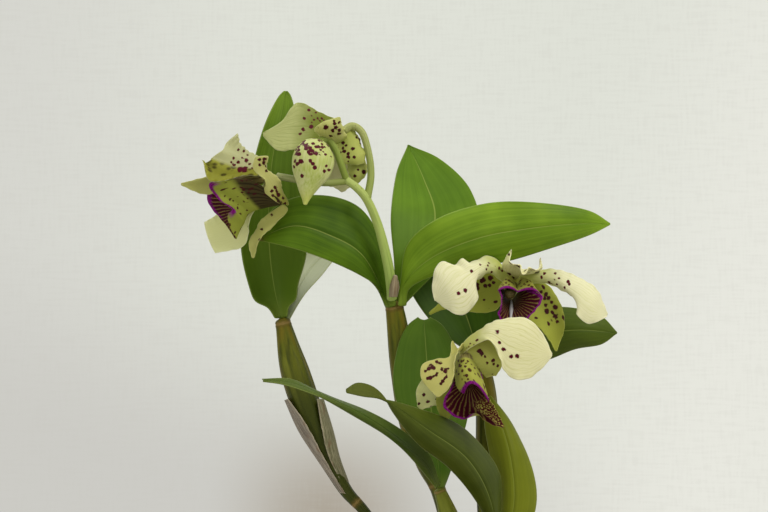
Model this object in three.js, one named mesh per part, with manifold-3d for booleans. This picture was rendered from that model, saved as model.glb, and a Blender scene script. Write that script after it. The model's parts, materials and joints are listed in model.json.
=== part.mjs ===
// A potted dendrobium orchid of the compact hybrid kind, in millimetres, with +Z up.
// The origin is the middle of the pot's flat underside.
// The front of the plant faces -Y, and the points below are read off a front view of it:
// a column from the left, a row from the top, and a depth in millimetres behind the pot's middle.
import * as THREE from 'three';
import { mergeVertices } from 'three/addons/utils/BufferGeometryUtils.js';
import Module from 'manifold-3d';

const wasm = await Module();
wasm.setup();

// Driving sizes of the front view
const GRID = 0.45;
const VIEW_DISTANCE = 1200;
const POT_COLUMN = 460;
const GROUND_ROW = 860;
const EYE_COLUMN = 384;
const EYE_ROW = 256;

// Driving sizes of the pot and its filling
const POT_HEIGHT = 105;
const POT_TOP_RADIUS = 60;
const POT_BASE_RADIUS = 42;
const POT_WALL = 4.5;
const POT_FLOOR = 6;
const RIM_HEIGHT = 15;
const RIM_REACH = 3;
const POT_EDGE = 1.5;
const DRAIN_RADIUS = 5;
const DRAIN_RING = 22;
const DRAIN_HOLES = 4;
const MIX_TOP = 96;
const MIX_SHOULDER = 3;
const BARK_RELIEF = 3;
const BARK_CROWN = 1.5;

// Driving sizes of the plant
const LEAF_THICKNESS = 1.0;
const PETAL_THICKNESS = 0.7;
const CLEARANCE = 0.35;
const TRIM = 0.08;

// Turns a point of the front view, as the eye at VIEW_DISTANCE sees it, into millimetres.
function at([column, row, depth]) {
  const spread = (VIEW_DISTANCE + depth) / VIEW_DISTANCE;
  const eyeX = (EYE_COLUMN - POT_COLUMN) * GRID;
  const eyeZ = (GROUND_ROW - EYE_ROW) * GRID;
  return new THREE.Vector3(
    eyeX + (column - EYE_COLUMN) * GRID * spread,
    depth,
    eyeZ + (EYE_ROW - row) * GRID * spread,
  );
}

function curveThrough(points) {
  return new THREE.CatmullRomCurve3(points.map(at), false, 'centripetal');
}

// Makes a closed solid from vertices and triangles, whichever kind of array they come in.
function solidFrom(positions, triangles) {
  const mesh = new wasm.Mesh({
    numProp: 3,
    vertProperties: new Float32Array(positions),
    triVerts: new Uint32Array(triangles),
  });
  return new wasm.Manifold(mesh);
}

function solidFromGeometry(geometry) {
  geometry.deleteAttribute('normal');
  geometry.deleteAttribute('uv');
  const merged = mergeVertices(geometry, 1e-4);
  return solidFrom(merged.attributes.position.array, merged.index.array);
}

// A thin sheet stretched over three curves: its left edge, its rib and its right edge.
// Across the sheet the section is the parabola through the three, and a wave ruffles the edges.
// A bite hollows the far end on both sides of the rib, which leaves three points.
function sheetPoint(shape, u, v) {
  const left = shape.leftCurve.getPointAt(u);
  const rib = shape.ribCurve.getPointAt(u);
  const right = shape.rightCurve.getPointAt(u);
  const bend = left.clone().add(right).multiplyScalar(0.5).sub(rib);
  const point = rib.clone();
  point.addScaledVector(right.clone().sub(left), v / 2);
  point.addScaledVector(bend, v * v);
  const hollow = (shape.bite * u ** 6 * (1 - Math.cos(2 * Math.PI * v))) / 2;
  point.addScaledVector(shape.inward, hollow);
  return point;
}

function sheetNormal(shape, u, v) {
  const step = 0.02;
  const u0 = Math.max(u - step, 0);
  const u1 = Math.min(u + step, 1);
  const along = sheetPoint(shape, u1, v).sub(sheetPoint(shape, u0, v));
  const across = sheetPoint(shape, u, v + step).sub(sheetPoint(shape, u, v - step));
  return across.cross(along).normalize();
}

// A wave runs along the side edges, and a frill across the far end.
function ruffle({ wave = 0, waves = 3, frill = 0 }, u, v) {
  const side = v > 0 ? 1.3 : 0;
  const along = Math.sin(Math.PI * u) * Math.sin(2 * Math.PI * waves * u + side);
  return wave * Math.abs(v) ** 3 * along + frill * u ** 3 * Math.cos(3 * Math.PI * v);
}

// Both faces carry the same grid, split into triangles alike, so they never cross.
function blade(form, grow = 0) {
  const { thickness = PETAL_THICKNESS, steps = 6, across = 4 } = form;
  const shape = {
    leftCurve: curveThrough(form.left),
    ribCurve: curveThrough(form.rib),
    rightCurve: curveThrough(form.right),
    inward: at(form.rib[0]).sub(at(form.rib.at(-1))).normalize(),
    bite: form.bite ?? 0,
  };
  const positions = [];
  const half = thickness / 2 + grow;
  for (const face of [1, -1]) {
    for (let i = 0; i <= steps; i += 1) {
      const u = i / steps;
      const width = shape.leftCurve.getPointAt(u).distanceTo(shape.rightCurve.getPointAt(u));
      const reach = 1 + (2 * grow) / Math.max(width, 1);
      for (let j = 0; j <= across; j += 1) {
        const v = (2 * j) / across - 1;
        const normal = sheetNormal(shape, u, v * reach);
        const point = sheetPoint(shape, u, v * reach);
        point.addScaledVector(normal, ruffle(form, u, v) + face * half);
        positions.push(point.x, point.y, point.z);
      }
    }
  }
  return solidFrom(positions, shellTriangles(steps, across));
}

// Triangles of a slab: its upper grid, its lower grid turned over, and the rim between them.
function shellTriangles(steps, across) {
  const row = across + 1;
  const layer = row * (steps + 1);
  const triangles = [];
  for (let i = 0; i < steps; i += 1) {
    for (let j = 0; j < across; j += 1) {
      const a = i * row + j;
      const b = a + 1;
      const c = a + row;
      const d = c + 1;
      triangles.push(a, b, d, a, d, c);
      triangles.push(layer + a, layer + d, layer + b, layer + a, layer + c, layer + d);
    }
  }
  const rim = [];
  for (let j = 0; j < across; j += 1) rim.push(j);
  for (let i = 0; i < steps; i += 1) rim.push(i * row + across);
  for (let j = across; j > 0; j -= 1) rim.push(steps * row + j);
  for (let i = steps; i > 0; i -= 1) rim.push(i * row);
  rim.forEach((from, index) => {
    const to = rim[(index + 1) % rim.length];
    triangles.push(from, layer + from, layer + to, from, layer + to, to);
  });
  return triangles;
}

// A round stem along a curve, whose radius passes through the listed values.
function stem({ path, radii, sides = 9, steps = 12 }, grow = 0) {
  const curve = curveThrough(path);
  const profile = new THREE.SplineCurve(radii.map((radius, i) => new THREE.Vector2(i, radius)));
  const frames = curve.computeFrenetFrames(steps, false);
  const positions = [];
  const triangles = [];
  for (let i = 0; i <= steps; i += 1) {
    const centre = curve.getPointAt(i / steps);
    const radius = profile.getPoint(i / steps).y + grow;
    for (let j = 0; j < sides; j += 1) {
      const angle = (2 * Math.PI * j) / sides;
      const point = centre.clone();
      point.addScaledVector(frames.normals[i], radius * Math.cos(angle));
      point.addScaledVector(frames.binormals[i], radius * Math.sin(angle));
      positions.push(point.x, point.y, point.z);
      if (i < steps) {
        const next = (j + 1) % sides;
        const a = i * sides + j;
        const b = i * sides + next;
        triangles.push(a, b, b + sides, a, b + sides, a + sides);
      }
    }
  }
  const bottom = positions.length / 3;
  positions.push(...curve.getPointAt(0).toArray(), ...curve.getPointAt(1).toArray());
  for (let j = 0; j < sides; j += 1) {
    const next = (j + 1) % sides;
    triangles.push(bottom, next, j);
    triangles.push(bottom + 1, steps * sides + j, steps * sides + next);
  }
  return solidFrom(positions, triangles);
}

function ball(centre, radius, grow = 0) {
  const geometry = new THREE.SphereGeometry(radius + grow, 7, 5);
  const middle = at(centre);
  geometry.translate(middle.x, middle.y, middle.z);
  return solidFromGeometry(geometry);
}

function fuse(solids) {
  return solids.reduce((whole, solid) => whole.add(solid));
}

// Cuts the neighbours away, each already grown by the clearance, and keeps the main body.
function clearOf(solid, neighbours) {
  const cut = neighbours.reduce((rest, neighbour) => rest.subtract(neighbour), solid);
  const bodies = cut.decompose();
  return bodies.reduce((main, body) => (body.volume() > main.volume() ? body : main));
}

// Canes, from the oldest at the left to the young growth at the right
const CANES = {
  cane_old: {
    path: [[430, 690, 2], [428, 640, 2], [405, 570, 4], [365, 512, 8], [347, 492, 9],
      [334, 470, 10], [320.5, 441, 11], [303.5, 398, 12], [291.5, 360, 13], [282, 318, 13]],
    radii: [2.8, 3, 2.6, 2.2, 3.3, 6, 6.6, 3.4],
    steps: 17,
  },
  cane_tall: {
    path: [[450, 690, 4], [452, 640, 4], [450, 560, 6], [439, 492, 7], [425, 462, 7],
      [412, 425, 7], [404, 375, 6], [398.5, 335, 4], [393.5, 301, 2]],
    radii: [2.8, 3, 2.6, 2.8, 4.2, 5.6, 5.6, 4],
    steps: 15,
  },
  cane_front: {
    path: [[468, 690, -4], [467, 640, -5], [459, 570, -10], [449, 518, -14], [439, 488, -15]],
    radii: [2.8, 3, 6.2, 5.8, 2.6],
    steps: 12,
  },
  cane_right: {
    path: [[485, 690, 6], [485, 640, 6], [484, 560, 7], [484, 490, 8], [487, 430, 9],
      [485, 385, 10], [478, 353, 10]],
    radii: [2.8, 3, 2.6, 2.6, 4.6, 4.9, 3.4],
    steps: 16,
  },
  cane_young: {
    path: [[505, 690, -2], [505, 640, -4], [506, 595, -8], [502, 548, -11]],
    radii: [2.8, 3.4, 6, 3.4],
    steps: 10,
  },
};

// Leaves, each on the cane that its name gives, by their left edge, rib and right edge
const LEAVES = {
  leaf_old_upright: {
    left: [[275, 318, 12], [268, 308, 11], [255, 301, 9], [249, 287, 8], [242, 250, 9],
      [247, 190, 13], [264, 128, 20], [279, 96, 27], [284, 91, 28]],
    rib: [[281, 318, 14], [274, 286, 17], [269, 240, 20], [271, 170, 23], [286, 91, 29]],
    right: [[287, 317, 12], [289, 307, 11], [296, 299, 9], [298, 285, 8], [306, 250, 9],
      [301, 190, 14], [299, 140, 22], [293, 102, 27], [290, 94, 28], [287, 91, 28]],
  },
  leaf_old_back: {
    left: [[278, 322, 15], [290, 290, 24], [300, 262, 42], [320, 243, 62], [346, 237, 88]],
    rib: [[283, 323, 17], [298, 290, 28], [312, 267, 45], [330, 251, 65], [347, 238, 88]],
    right: [[288, 322, 14], [306, 292, 23], [326, 270, 38], [340, 254, 60], [348, 239, 88]],
  },
  leaf_tall_left: {
    left: [[385, 306, 0], [377, 287, -8], [341, 266, -15], [295, 249, -18], [257, 240, -14]],
    rib: [[390, 307, -2], [361, 254, -12], [331, 236, -15], [295, 226, -16], [257, 239, -14]],
    right: [[396, 305, -2], [389, 257, -3], [377, 230, -4], [358, 207, -7], [328, 196, -10],
      [292, 198, -13], [267, 215, -13], [257, 238, -13]],
  },
  leaf_tall_upright: {
    left: [[395, 305, 7], [394, 262, 5], [391, 216, 12], [396, 175, 30], [408, 145, 48]],
    rib: [[400, 306, 7], [426, 256, 9], [435, 216, 18], [424, 180, 34], [408, 145, 49]],
    right: [[404, 305, 3], [446, 262, 7], [478, 230, 15], [470, 189, 28], [440, 159, 40],
      [409, 145, 48]],
  },
  leaf_tall_right: {
    left: [[398, 305, -3], [401, 280, -5], [408, 244, -6], [438, 218, -13], [485, 204, -18],
      [540, 203, -20], [590, 211, -14], [610, 223, -9]],
    rib: [[402, 306, -2], [404, 285, -6], [430, 259, -13], [479, 238, -22], [526, 229, -23],
      [575, 224, -18], [610, 224, -9]],
    right: [[406, 305, 1], [409, 289, -4], [440, 274, -12], [509, 260, -17], [559, 246, -17],
      [592, 234, -13], [610, 225, -9]],
  },
  leaf_front_narrow: {
    left: [[436, 489, -19], [429, 479, -24], [404, 451, -44], [354, 415, -69], [305, 391, -83],
      [281, 384, -83], [263, 382, -80]],
    rib: [[437, 487, -18], [424, 463, -31], [380, 426, -58], [330, 399, -76], [290, 383, -80],
      [263, 380, -80]],
    right: [[440, 484, -15], [428, 453, -21], [404, 431, -33], [367, 412, -52], [317, 390, -71],
      [290, 379, -77], [262, 379, -79]],
  },
  leaf_front_round: {
    left: [[436, 488, -12], [424, 462, -9], [402, 420, -5], [394, 380, -3], [399, 342, -2],
      [408, 325, -1], [418, 317, -1]],
    rib: [[440, 488, -15], [437, 450, -14], [430, 400, -12], [426, 350, -8], [424, 320, -2]],
    right: [[444, 488, -12], [456, 455, -9], [467, 420, -6], [466, 380, -4], [452, 340, -2],
      [441, 324, -1], [430, 317, -1]],
  },
  leaf_right_broad: {
    left: [[473, 354, 12], [452, 341, 14], [426, 314, 17], [407, 284, 22], [408, 260, 28],
      [425, 243, 34]],
    rib: [[478, 353, 14], [467, 318, 21], [455, 290, 26], [441, 266, 31], [425, 242, 35]],
    right: [[482, 352, 12], [500, 326, 14], [504, 298, 18], [490, 270, 23], [460, 250, 29],
      [426, 243, 34]],
  },
  leaf_right_low: {
    left: [[480, 346, 9], [500, 322, 6], [530, 311, 2], [565, 308, -1], [600, 315, -4],
      [617, 332, -4]],
    rib: [[481, 350, 7], [508, 342, -1], [540, 334, -6], [580, 330, -9], [617, 333, -4]],
    right: [[482, 355, 8], [503, 365, 4], [535, 363, -1], [573, 350, -5], [602, 344, -5],
      [616, 334, -4]],
  },
  leaf_young_arching: {
    left: [[495, 549, -13], [483, 512, -20], [449, 469, -44], [417, 442, -62], [393, 413, -76],
      [382, 395, -80], [371, 386, -82], [357, 383, -84], [346, 389, -88]],
    rib: [[499, 549, -16], [490, 500, -26], [468, 460, -44], [425, 428, -66], [386, 401, -81],
      [366, 392, -87], [346, 391, -89]],
    right: [[503, 549, -14], [500, 510, -15], [500, 473, -20], [466, 431, -38], [415, 407, -63],
      [383, 399, -82], [365, 397, -89], [347, 393, -90]],
  },
  leaf_young_upright: {
    left: [[500, 549, -7], [499, 512, -5], [497, 480, -3], [490, 452, -1], [484, 420, 1],
      [489, 397, 2]],
    rib: [[504, 549, -10], [514, 500, -12], [510, 455, -9], [500, 420, -4], [490, 396, 2]],
    right: [[508, 549, -7], [530, 525, -6], [537, 500, -5], [529, 462, -3], [514, 426, 0],
      [491, 396, 2]],
  },
};

// Dry papery sheaths that still cling to the canes
const SHEATHS = {
  sheath_old_left: {
    left: [[287, 400, 15], [303, 432, 15], [322, 463, 13], [343, 495, 11]],
    rib: [[285, 400, 9], [299, 430, 8], [319, 461, 7], [341, 493, 7]],
    right: [[288, 399, 4], [306, 424, 3], [320, 450, 4], [338, 482, 6], [346, 494, 6]],
  },
  sheath_old_right: {
    left: [[317, 399, 5], [322, 430, 4], [328, 455, 5], [340, 480, 7]],
    rib: [[323, 399, 9], [332, 430, 8], [339, 458, 8], [348, 482, 9]],
    right: [[320, 399, 17], [330, 430, 16], [337, 458, 15], [347, 482, 13]],
  },
};

// Flower stems: the main one of each spray with its side stalks, fused
const FLOWER_STEMS = {
  flower_stem_left: [
    {
      path: [[392, 300, -5], [390, 276, -11], [386, 255, -13], [377, 222, -16], [366, 198, -18],
        [356, 187, -19], [345, 179, -20]],
      radii: [2.1, 2.3, 2.2, 2, 1.9, 1.7],
      sides: 7,
      steps: 10,
    },
    {
      path: [[367, 200, -18], [371, 175, -15], [368, 150, -12], [361, 131, -10], [352, 126, -9],
        [343, 131, -10]],
      radii: [1.7, 1.6, 1.6, 1.8],
      sides: 7,
      steps: 9,
    },
    {
      path: [[349, 181, -19], [325, 183, -22], [300, 180, -25], [276, 176, -27]],
      radii: [1.5, 1.5, 1.6],
      sides: 7,
      steps: 5,
    },
    {
      path: [[347, 181, -19], [341, 164, -22], [334, 147, -23], [327, 139, -24], [319, 141, -28]],
      radii: [1.6, 1.5, 1.5],
      sides: 7,
      steps: 6,
    },
  ],
  flower_stem_right: [
    {
      path: [[474, 354, 3], [478, 346, -3], [488, 338, -8], [500, 326, -13], [511, 308, -17],
        [514, 289, -18]],
      radii: [1.9, 2, 1.8, 1.6],
      sides: 8,
      steps: 9,
    },
    {
      path: [[478, 347, -3], [472, 346, -16], [467, 350, -30], [465, 352, -38]],
      radii: [1.6, 1.6],
      sides: 8,
      steps: 5,
    },
  ],
};

// Blooms: each has three sepals, two petals, a column and a lip round one hub
const BLOOMS = {
  bloom_left: {
    hub: [268, 178, -26],
    chin: [283, 203, -27],
    hubRadius: 3.4,
    sepals: [
      {
        left: [[262, 170, -22], [228, 171, -20], [202, 178, -20], [181, 183, -20]],
        rib: [[262, 176, -21], [228, 180, -17], [202, 187, -18], [181, 184, -20]],
        right: [[262, 182, -22], [232, 189, -20], [203, 194, -19], [181, 185, -20]],
      },
      {
        fromChin: true,
        left: [[278, 203, -31], [267, 193, -38], [263, 180, -42], [253, 168, -45], [255, 157, -46]],
        rib: [[284, 203, -28], [275, 191, -34], [268, 178, -39], [261, 167, -43], [262, 156, -45]],
        right: [[288, 205, -26], [284, 191, -29], [277, 178, -34], [268, 168, -38], [268, 156, -43]],
        wave: 1.1,
        waves: 2,
        steps: 8,
      },
      {
        fromChin: true,
        left: [[280, 206, -27], [267, 215, -24], [256, 228, -22], [249, 242, -22], [252, 258, -22]],
        rib: [[284, 208, -26], [274, 218, -25], [261, 230, -24], [254, 245, -23], [253, 258, -22]],
        right: [[288, 209, -25], [278, 222, -26], [265, 232, -26], [259, 243, -25], [254, 258, -22]],
        wave: 0.9,
        waves: 2,
      },
    ],
    petals: [
      {
        left: [[266, 163, -24], [253, 154, -26], [241, 146, -30], [235, 133, -34]],
        rib: [[265, 170, -27], [247, 167, -34], [229, 163, -40], [213, 157, -43]],
        right: [[264, 177, -30], [242, 176, -38], [222, 181, -43], [208, 180, -46], [203, 160, -45]],
        frill: 1.2,
        bite: 0.8,
        across: 8,
      },
      {
        left: [[262, 186, -20], [236, 204, -14], [218, 214, -12], [204, 222, -12]],
        rib: [[266, 190, -19], [244, 218, -13], [226, 234, -10], [208, 238, -10]],
        right: [[268, 192, -20], [251, 214, -16], [249, 232, -13], [242, 247, -12],
          [215, 253, -11]],
        wave: 0.6,
      },
    ],
    column: { path: [[266, 178, -27], [246, 180, -28], [228, 186, -28]], radii: [2.8, 3, 3.2] },
    lip: [
      {
        left: [[278, 198, -34], [250, 180, -39], [222, 180, -40], [209, 184, -38], [215, 195, -38],
          [223, 203, -37], [233, 208, -36], [228, 215, -34], [229, 225, -31], [236, 238, -27]],
        rib: [[282, 204, -27], [262, 208, -27], [249, 213, -27], [242, 225, -26], [236, 239, -26]],
        right: [[278, 198, -19], [250, 180, -15], [224, 182, -14], [211, 187, -14], [207, 198, -15],
          [212, 209, -18], [222, 220, -22], [235, 238, -25]],
        across: 6,
        steps: 8,
      },
    ],
  },
  bloom_top: {
    hub: [343, 138, -9],
    hubRadius: 3.4,
    sepals: [
      {
        left: [[336, 144, -17], [321, 137, -26], [314, 130, -29], [323, 122, -31], [338, 117, -31]],
        rib: [[341, 141, -17], [334, 135, -27], [332, 128, -31], [339, 117, -31]],
        right: [[347, 138, -15], [345, 132, -22], [342, 124, -29], [340, 117, -31]],
        wave: 0.5,
      },
      {
        left: [[338, 138, -8], [333, 150, -11], [340, 162, -14], [354, 165, -14], [364, 163, -13]],
        rib: [[343, 135, -9], [350, 147, -13], [357, 157, -15], [364, 162, -13]],
        right: [[346, 128, -8], [355, 131, -8], [360, 142, -10], [365, 152, -12], [365, 161, -13]],
        wave: 0.5,
      },
      {
        left: [[345, 144, -5], [347, 160, -7], [349, 174, -10], [355, 184, -11]],
        rib: [[350, 144, -5], [355, 160, -9], [358, 174, -12], [356, 185, -11]],
        right: [[354, 142, -5], [364, 158, -8], [367, 172, -10], [357, 185, -11]],
      },
    ],
    petals: [
      {
        left: [[330, 142, -11], [312, 146, -16], [292, 149, -19], [278, 151, -18], [263, 136, -16]],
        rib: [[334, 134, -8], [310, 127, -12], [285, 128, -14], [263, 134, -16]],
        right: [[339, 121, -7], [326, 115, -6], [314, 110, -7], [306, 104, -8], [298, 102, -9],
          [291, 108, -11], [282, 121, -13], [263, 133, -16]],
        steps: 9,
        wave: 0.7,
      },
      {
        left: [[336, 146, -4], [326, 164, -2], [323, 180, -2], [340, 191, -3]],
        rib: [[341, 147, -3], [341, 166, 1], [341, 180, 0], [342, 192, -3]],
        right: [[346, 146, -4], [358, 165, -3], [359, 180, -3], [344, 191, -3]],
        wave: 0.5,
      },
    ],
    column: { path: [[341, 140, -6], [334, 147, 2], [329, 154, 9]], radii: [2.8, 3, 3.2] },
    lip: [
      {
        left: [[332, 142, -1], [318, 142, 10], [310, 150, 20], [312, 164, 22], [320, 174, 20],
          [326, 184, 20]],
        rib: [[338, 152, -1], [334, 164, 6], [330, 172, 12], [328, 178, 18], [327, 186, 22]],
        right: [[344, 148, 1], [342, 148, 14], [336, 152, 24], [334, 166, 26], [332, 176, 24],
          [328, 184, 21]],
        across: 6,
        steps: 8,
      },
    ],
  },
  bloom_right: {
    hub: [514, 283, -20],
    hubRadius: 3.6,
    sepals: [
      {
        left: [[508, 279, -18], [502, 267, -22], [504, 260, -28], [508, 250, -35]],
        rib: [[517, 280, -18], [521, 270, -25], [523, 270, -33], [524, 271, -39]],
        right: [[526, 279, -18], [539, 272, -22], [543, 267, -30], [543, 259, -36]],
        frill: 1.5,
        across: 6,
      },
      {
        left: [[508, 276, -17], [482, 270, -13], [456, 288, -9], [430, 312, -8]],
        rib: [[506, 284, -18], [484, 292, -15], [458, 301, -12], [429, 313, -8]],
        right: [[507, 291, -19], [496, 310, -21], [470, 312, -17], [448, 308, -11], [430, 315, -8]],
      },
      {
        left: [[519, 292, -21], [527, 316, -27], [546, 335, -29], [555, 351, -27]],
        rib: [[523, 286, -20], [541, 306, -22], [553, 326, -25], [556, 351, -27]],
        right: [[526, 281, -19], [548, 285, -17], [561, 306, -19], [565, 324, -22], [557, 351, -27]],
        wave: 0.4,
      },
    ],
    petals: [
      {
        left: [[507, 284, -21], [486, 273, -25], [474, 286, -31], [476, 302, -36], [463, 315, -37],
          [446, 309, -36], [437, 302, -34]],
        rib: [[507, 279, -21], [487, 266, -27], [468, 276, -33], [452, 290, -37], [436, 301, -34]],
        right: [[508, 274, -20], [500, 262, -20], [489, 257, -21], [479, 258, -23], [471, 261, -24],
          [466, 264, -26], [461, 260, -28], [455, 265, -28], [448, 261, -30], [440, 263, -31],
          [434, 273, -33], [432, 289, -34], [435, 301, -34]],
        wave: 0.8,
        waves: 4,
        steps: 9,
        across: 6,
      },
      {
        left: [[521, 275, -20], [544, 269, -21], [562, 271, -25], [579, 277, -28], [594, 287, -30],
          [603, 301, -30], [608, 314, -29]],
        rib: [[522, 280, -21], [548, 278, -25], [570, 288, -31], [590, 303, -35], [607, 315, -29]],
        right: [[521, 284, -21], [548, 284, -23], [566, 292, -28], [577, 304, -33], [579, 317, -36],
          [589, 324, -35], [601, 320, -32], [607, 316, -29]],
        wave: 0.5,
        steps: 9,
      },
    ],
    column: { path: [[514, 284, -22], [511, 290, -27], [509, 296, -33]], radii: [2.4, 2.5, 2.4] },
    lip: [
      {
        left: [[505, 290, -24], [499, 288, -34], [502, 298, -40], [501, 306, -42], [498, 313, -43],
          [502, 321, -44], [511, 330, -43]],
        rib: [[511, 300, -23], [511, 309, -28], [511, 316, -34], [512, 323, -40], [512, 331, -43]],
        right: [[519, 290, -24], [532, 290, -34], [542, 296, -40], [541, 303, -42], [534, 311, -43],
          [524, 322, -44], [513, 330, -43]],
        across: 6,
        steps: 9,
      },
      {
        left: [[504, 289, -24], [499, 288, -33], [498, 291, -37]],
        rib: [[509, 276, -24], [507, 280, -31], [508, 288, -37]],
        right: [[516, 287, -25], [517, 289, -31], [518, 292, -36]],
        steps: 3,
      },
      {
        left: [[517, 287, -25], [517, 289, -31], [518, 292, -36]],
        rib: [[522, 278, -24], [529, 281, -31], [532, 290, -37]],
        right: [[521, 290, -25], [532, 290, -34], [542, 296, -40]],
        steps: 3,
      },
    ],
  },
  bloom_front: {
    hub: [464, 352, -42],
    hubRadius: 3.4,
    sepals: [
      {
        left: [[458, 350, -42], [452, 341, -47], [449, 357, -52], [436, 359, -54], [422, 365, -57],
          [421, 378, -59], [429, 389, -60], [437, 397, -62]],
        rib: [[461, 351, -43], [457, 352, -50], [448, 364, -55], [440, 378, -59], [438, 397, -62]],
        right: [[464, 350, -45], [463, 343, -50], [455, 358, -56], [454, 373, -60], [449, 388, -62],
          [439, 397, -62]],
      },
      {
        left: [[464, 356, -43], [474, 363, -45], [481, 371, -47], [486, 378, -49]],
        rib: [[466, 351, -40], [482, 352, -37], [492, 362, -39], [492, 376, -47]],
        right: [[468, 347, -41], [484, 335, -40], [500, 346, -39], [503, 363, -42], [496, 376, -46]],
      },
      {
        left: [[460, 358, -41], [444, 380, -41], [436, 400, -44], [439, 413, -46], [443, 420, -47]],
        rib: [[463, 360, -41], [452, 386, -43], [447, 404, -45], [445, 421, -47]],
        right: [[467, 360, -42], [463, 388, -45], [457, 407, -47], [448, 419, -47]],
      },
    ],
    petals: [
      {
        left: [[460, 350, -45], [468, 338, -45], [480, 329, -47], [500, 320, -54], [526, 318, -57],
          [544, 336, -54], [552, 353, -51]],
        rib: [[462, 352, -46], [476, 337, -49], [492, 334, -56], [510, 346, -59], [530, 351, -56],
          [552, 354, -51]],
        right: [[464, 353, -47], [478, 343, -53], [491, 341, -59], [501, 360, -60], [510, 377, -56],
          [530, 378, -53], [546, 364, -51], [552, 355, -51]],
        wave: 0.5,
        steps: 9,
      },
      {
        left: [[459, 352, -39], [432, 370, -34], [417, 388, -36], [417, 406, -40]],
        rib: [[460, 358, -38], [441, 382, -36], [430, 396, -38], [419, 408, -40]],
        right: [[462, 362, -39], [450, 390, -40], [440, 404, -42], [421, 409, -41]],
        wave: 0.5,
      },
    ],
    column: { path: [[465, 354, -44], [467, 364, -48], [468, 376, -51]], radii: [2.8, 3, 3.2] },
    lip: [
      {
        left: [[456, 362, -46], [452, 385, -52], [443, 405, -55], [451, 414, -54], [464, 419, -52],
          [475, 413, -50], [490, 424, -51], [503, 428, -52]],
        rib: [[465, 366, -43], [469, 388, -45], [475, 403, -46], [488, 416, -49], [503, 427, -52]],
        right: [[474, 362, -47], [482, 376, -54], [484, 388, -58], [492, 403, -57], [499, 415, -54],
          [504, 427, -52]],
        across: 6,
        steps: 8,
      },
      {
        left: [[456, 362, -46], [455, 376, -52], [458, 389, -56], [464, 394, -58]],
        rib: [[465, 358, -53], [468, 372, -60], [474, 384, -63]],
        right: [[474, 362, -47], [481, 376, -54], [486, 390, -59], [489, 402, -58]],
        steps: 4,
      },
    ],
  },
};

const BUD = {
  path: [[318, 139, -31], [315, 150, -31], [311, 170, -32], [307, 190, -33], [305, 205, -34]],
  radii: [5, 9, 8.4, 4.4, 0.8],
  sides: 12,
  steps: 10,
};

const BRACT = {
  left: [[397, 297, -11], [399, 287, -11], [397, 276, -12]],
  rib: [[393, 297, -14], [394, 287, -15], [395, 275, -13]],
  right: [[389, 297, -11], [390, 287, -12], [393, 276, -12]],
  steps: 4,
  across: 4,
};

const RHIZOME = {
  path: [[424, 634, 12], [445, 637, 12], [470, 637, 10], [494, 637, 6], [514, 640, 2]],
  radii: [3.2, 4.4, 4.6, 4.4, 2.6],
  sides: 8,
  steps: 8,
};

const ROOTS = [
  [[440, 638, 12], [418, 634, 26], [400, 640, 32], [394, 660, 34]],
  [[452, 638, 12], [458, 631, 30], [464, 640, 40], [466, 662, 42]],
  [[480, 638, 9], [500, 630, 24], [518, 640, 30], [526, 660, 32]],
  [[506, 639, 3], [528, 632, -4], [542, 641, -12], [548, 662, -14]],
  [[432, 637, 12], [408, 632, 2], [392, 641, -10], [388, 662, -16]],
];

// Outer radius of the pot's slanted wall at a height
function wallRadius(height) {
  return POT_BASE_RADIUS + ((POT_TOP_RADIUS - POT_BASE_RADIUS) * height) / POT_HEIGHT;
}

// The pot is turned about its axis: flat base, slanted wall, a plain band for a rim.
function makePot() {
  const bandFoot = POT_HEIGHT - RIM_HEIGHT;
  const profile = [
    [0, 0],
    [POT_BASE_RADIUS - POT_EDGE, 0],
    [POT_BASE_RADIUS, POT_EDGE],
    [wallRadius(bandFoot), bandFoot],
    [wallRadius(bandFoot) + RIM_REACH, bandFoot + POT_EDGE],
    [POT_TOP_RADIUS + RIM_REACH, POT_HEIGHT - POT_EDGE],
    [POT_TOP_RADIUS + RIM_REACH - POT_EDGE, POT_HEIGHT],
    [POT_TOP_RADIUS - POT_WALL + POT_EDGE, POT_HEIGHT],
    [POT_TOP_RADIUS - POT_WALL, POT_HEIGHT - POT_EDGE],
    [wallRadius(POT_FLOOR) - POT_WALL, POT_FLOOR],
    [0, POT_FLOOR],
  ];
  const points = profile.map(([radius, height]) => new THREE.Vector2(radius, height));
  let pot = solidFromGeometry(new THREE.LatheGeometry(points, 32).rotateX(Math.PI / 2));
  for (let i = 0; i < DRAIN_HOLES; i += 1) {
    const angle = Math.PI / 4 + (2 * Math.PI * i) / DRAIN_HOLES;
    const drill = new THREE.CylinderGeometry(DRAIN_RADIUS, DRAIN_RADIUS, 3 * POT_FLOOR, 12);
    drill.rotateX(Math.PI / 2);
    drill.translate(DRAIN_RING * Math.cos(angle), DRAIN_RING * Math.sin(angle), POT_FLOOR / 2);
    pot = pot.subtract(solidFromGeometry(drill));
  }
  return pot;
}

// Bark chips show as relief: blocks of bumps, higher towards the middle.
function barkHeight(x, y) {
  const rowsOfChips = Math.sin(0.42 * x + 0.9 * Math.sin(0.19 * y));
  const columnsOfChips = Math.sin(0.45 * y + 0.8 * Math.sin(0.23 * x));
  const chips = 0.6 * Math.tanh(2 * rowsOfChips * columnsOfChips);
  const grain = 0.4 * Math.sin(0.9 * x + 1.3) * Math.cos(0.8 * y - 0.6);
  const crown = BARK_CROWN * (1 - (x * x + y * y) / (POT_TOP_RADIUS * POT_TOP_RADIUS));
  return BARK_RELIEF * (chips + grain) + crown;
}

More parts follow.
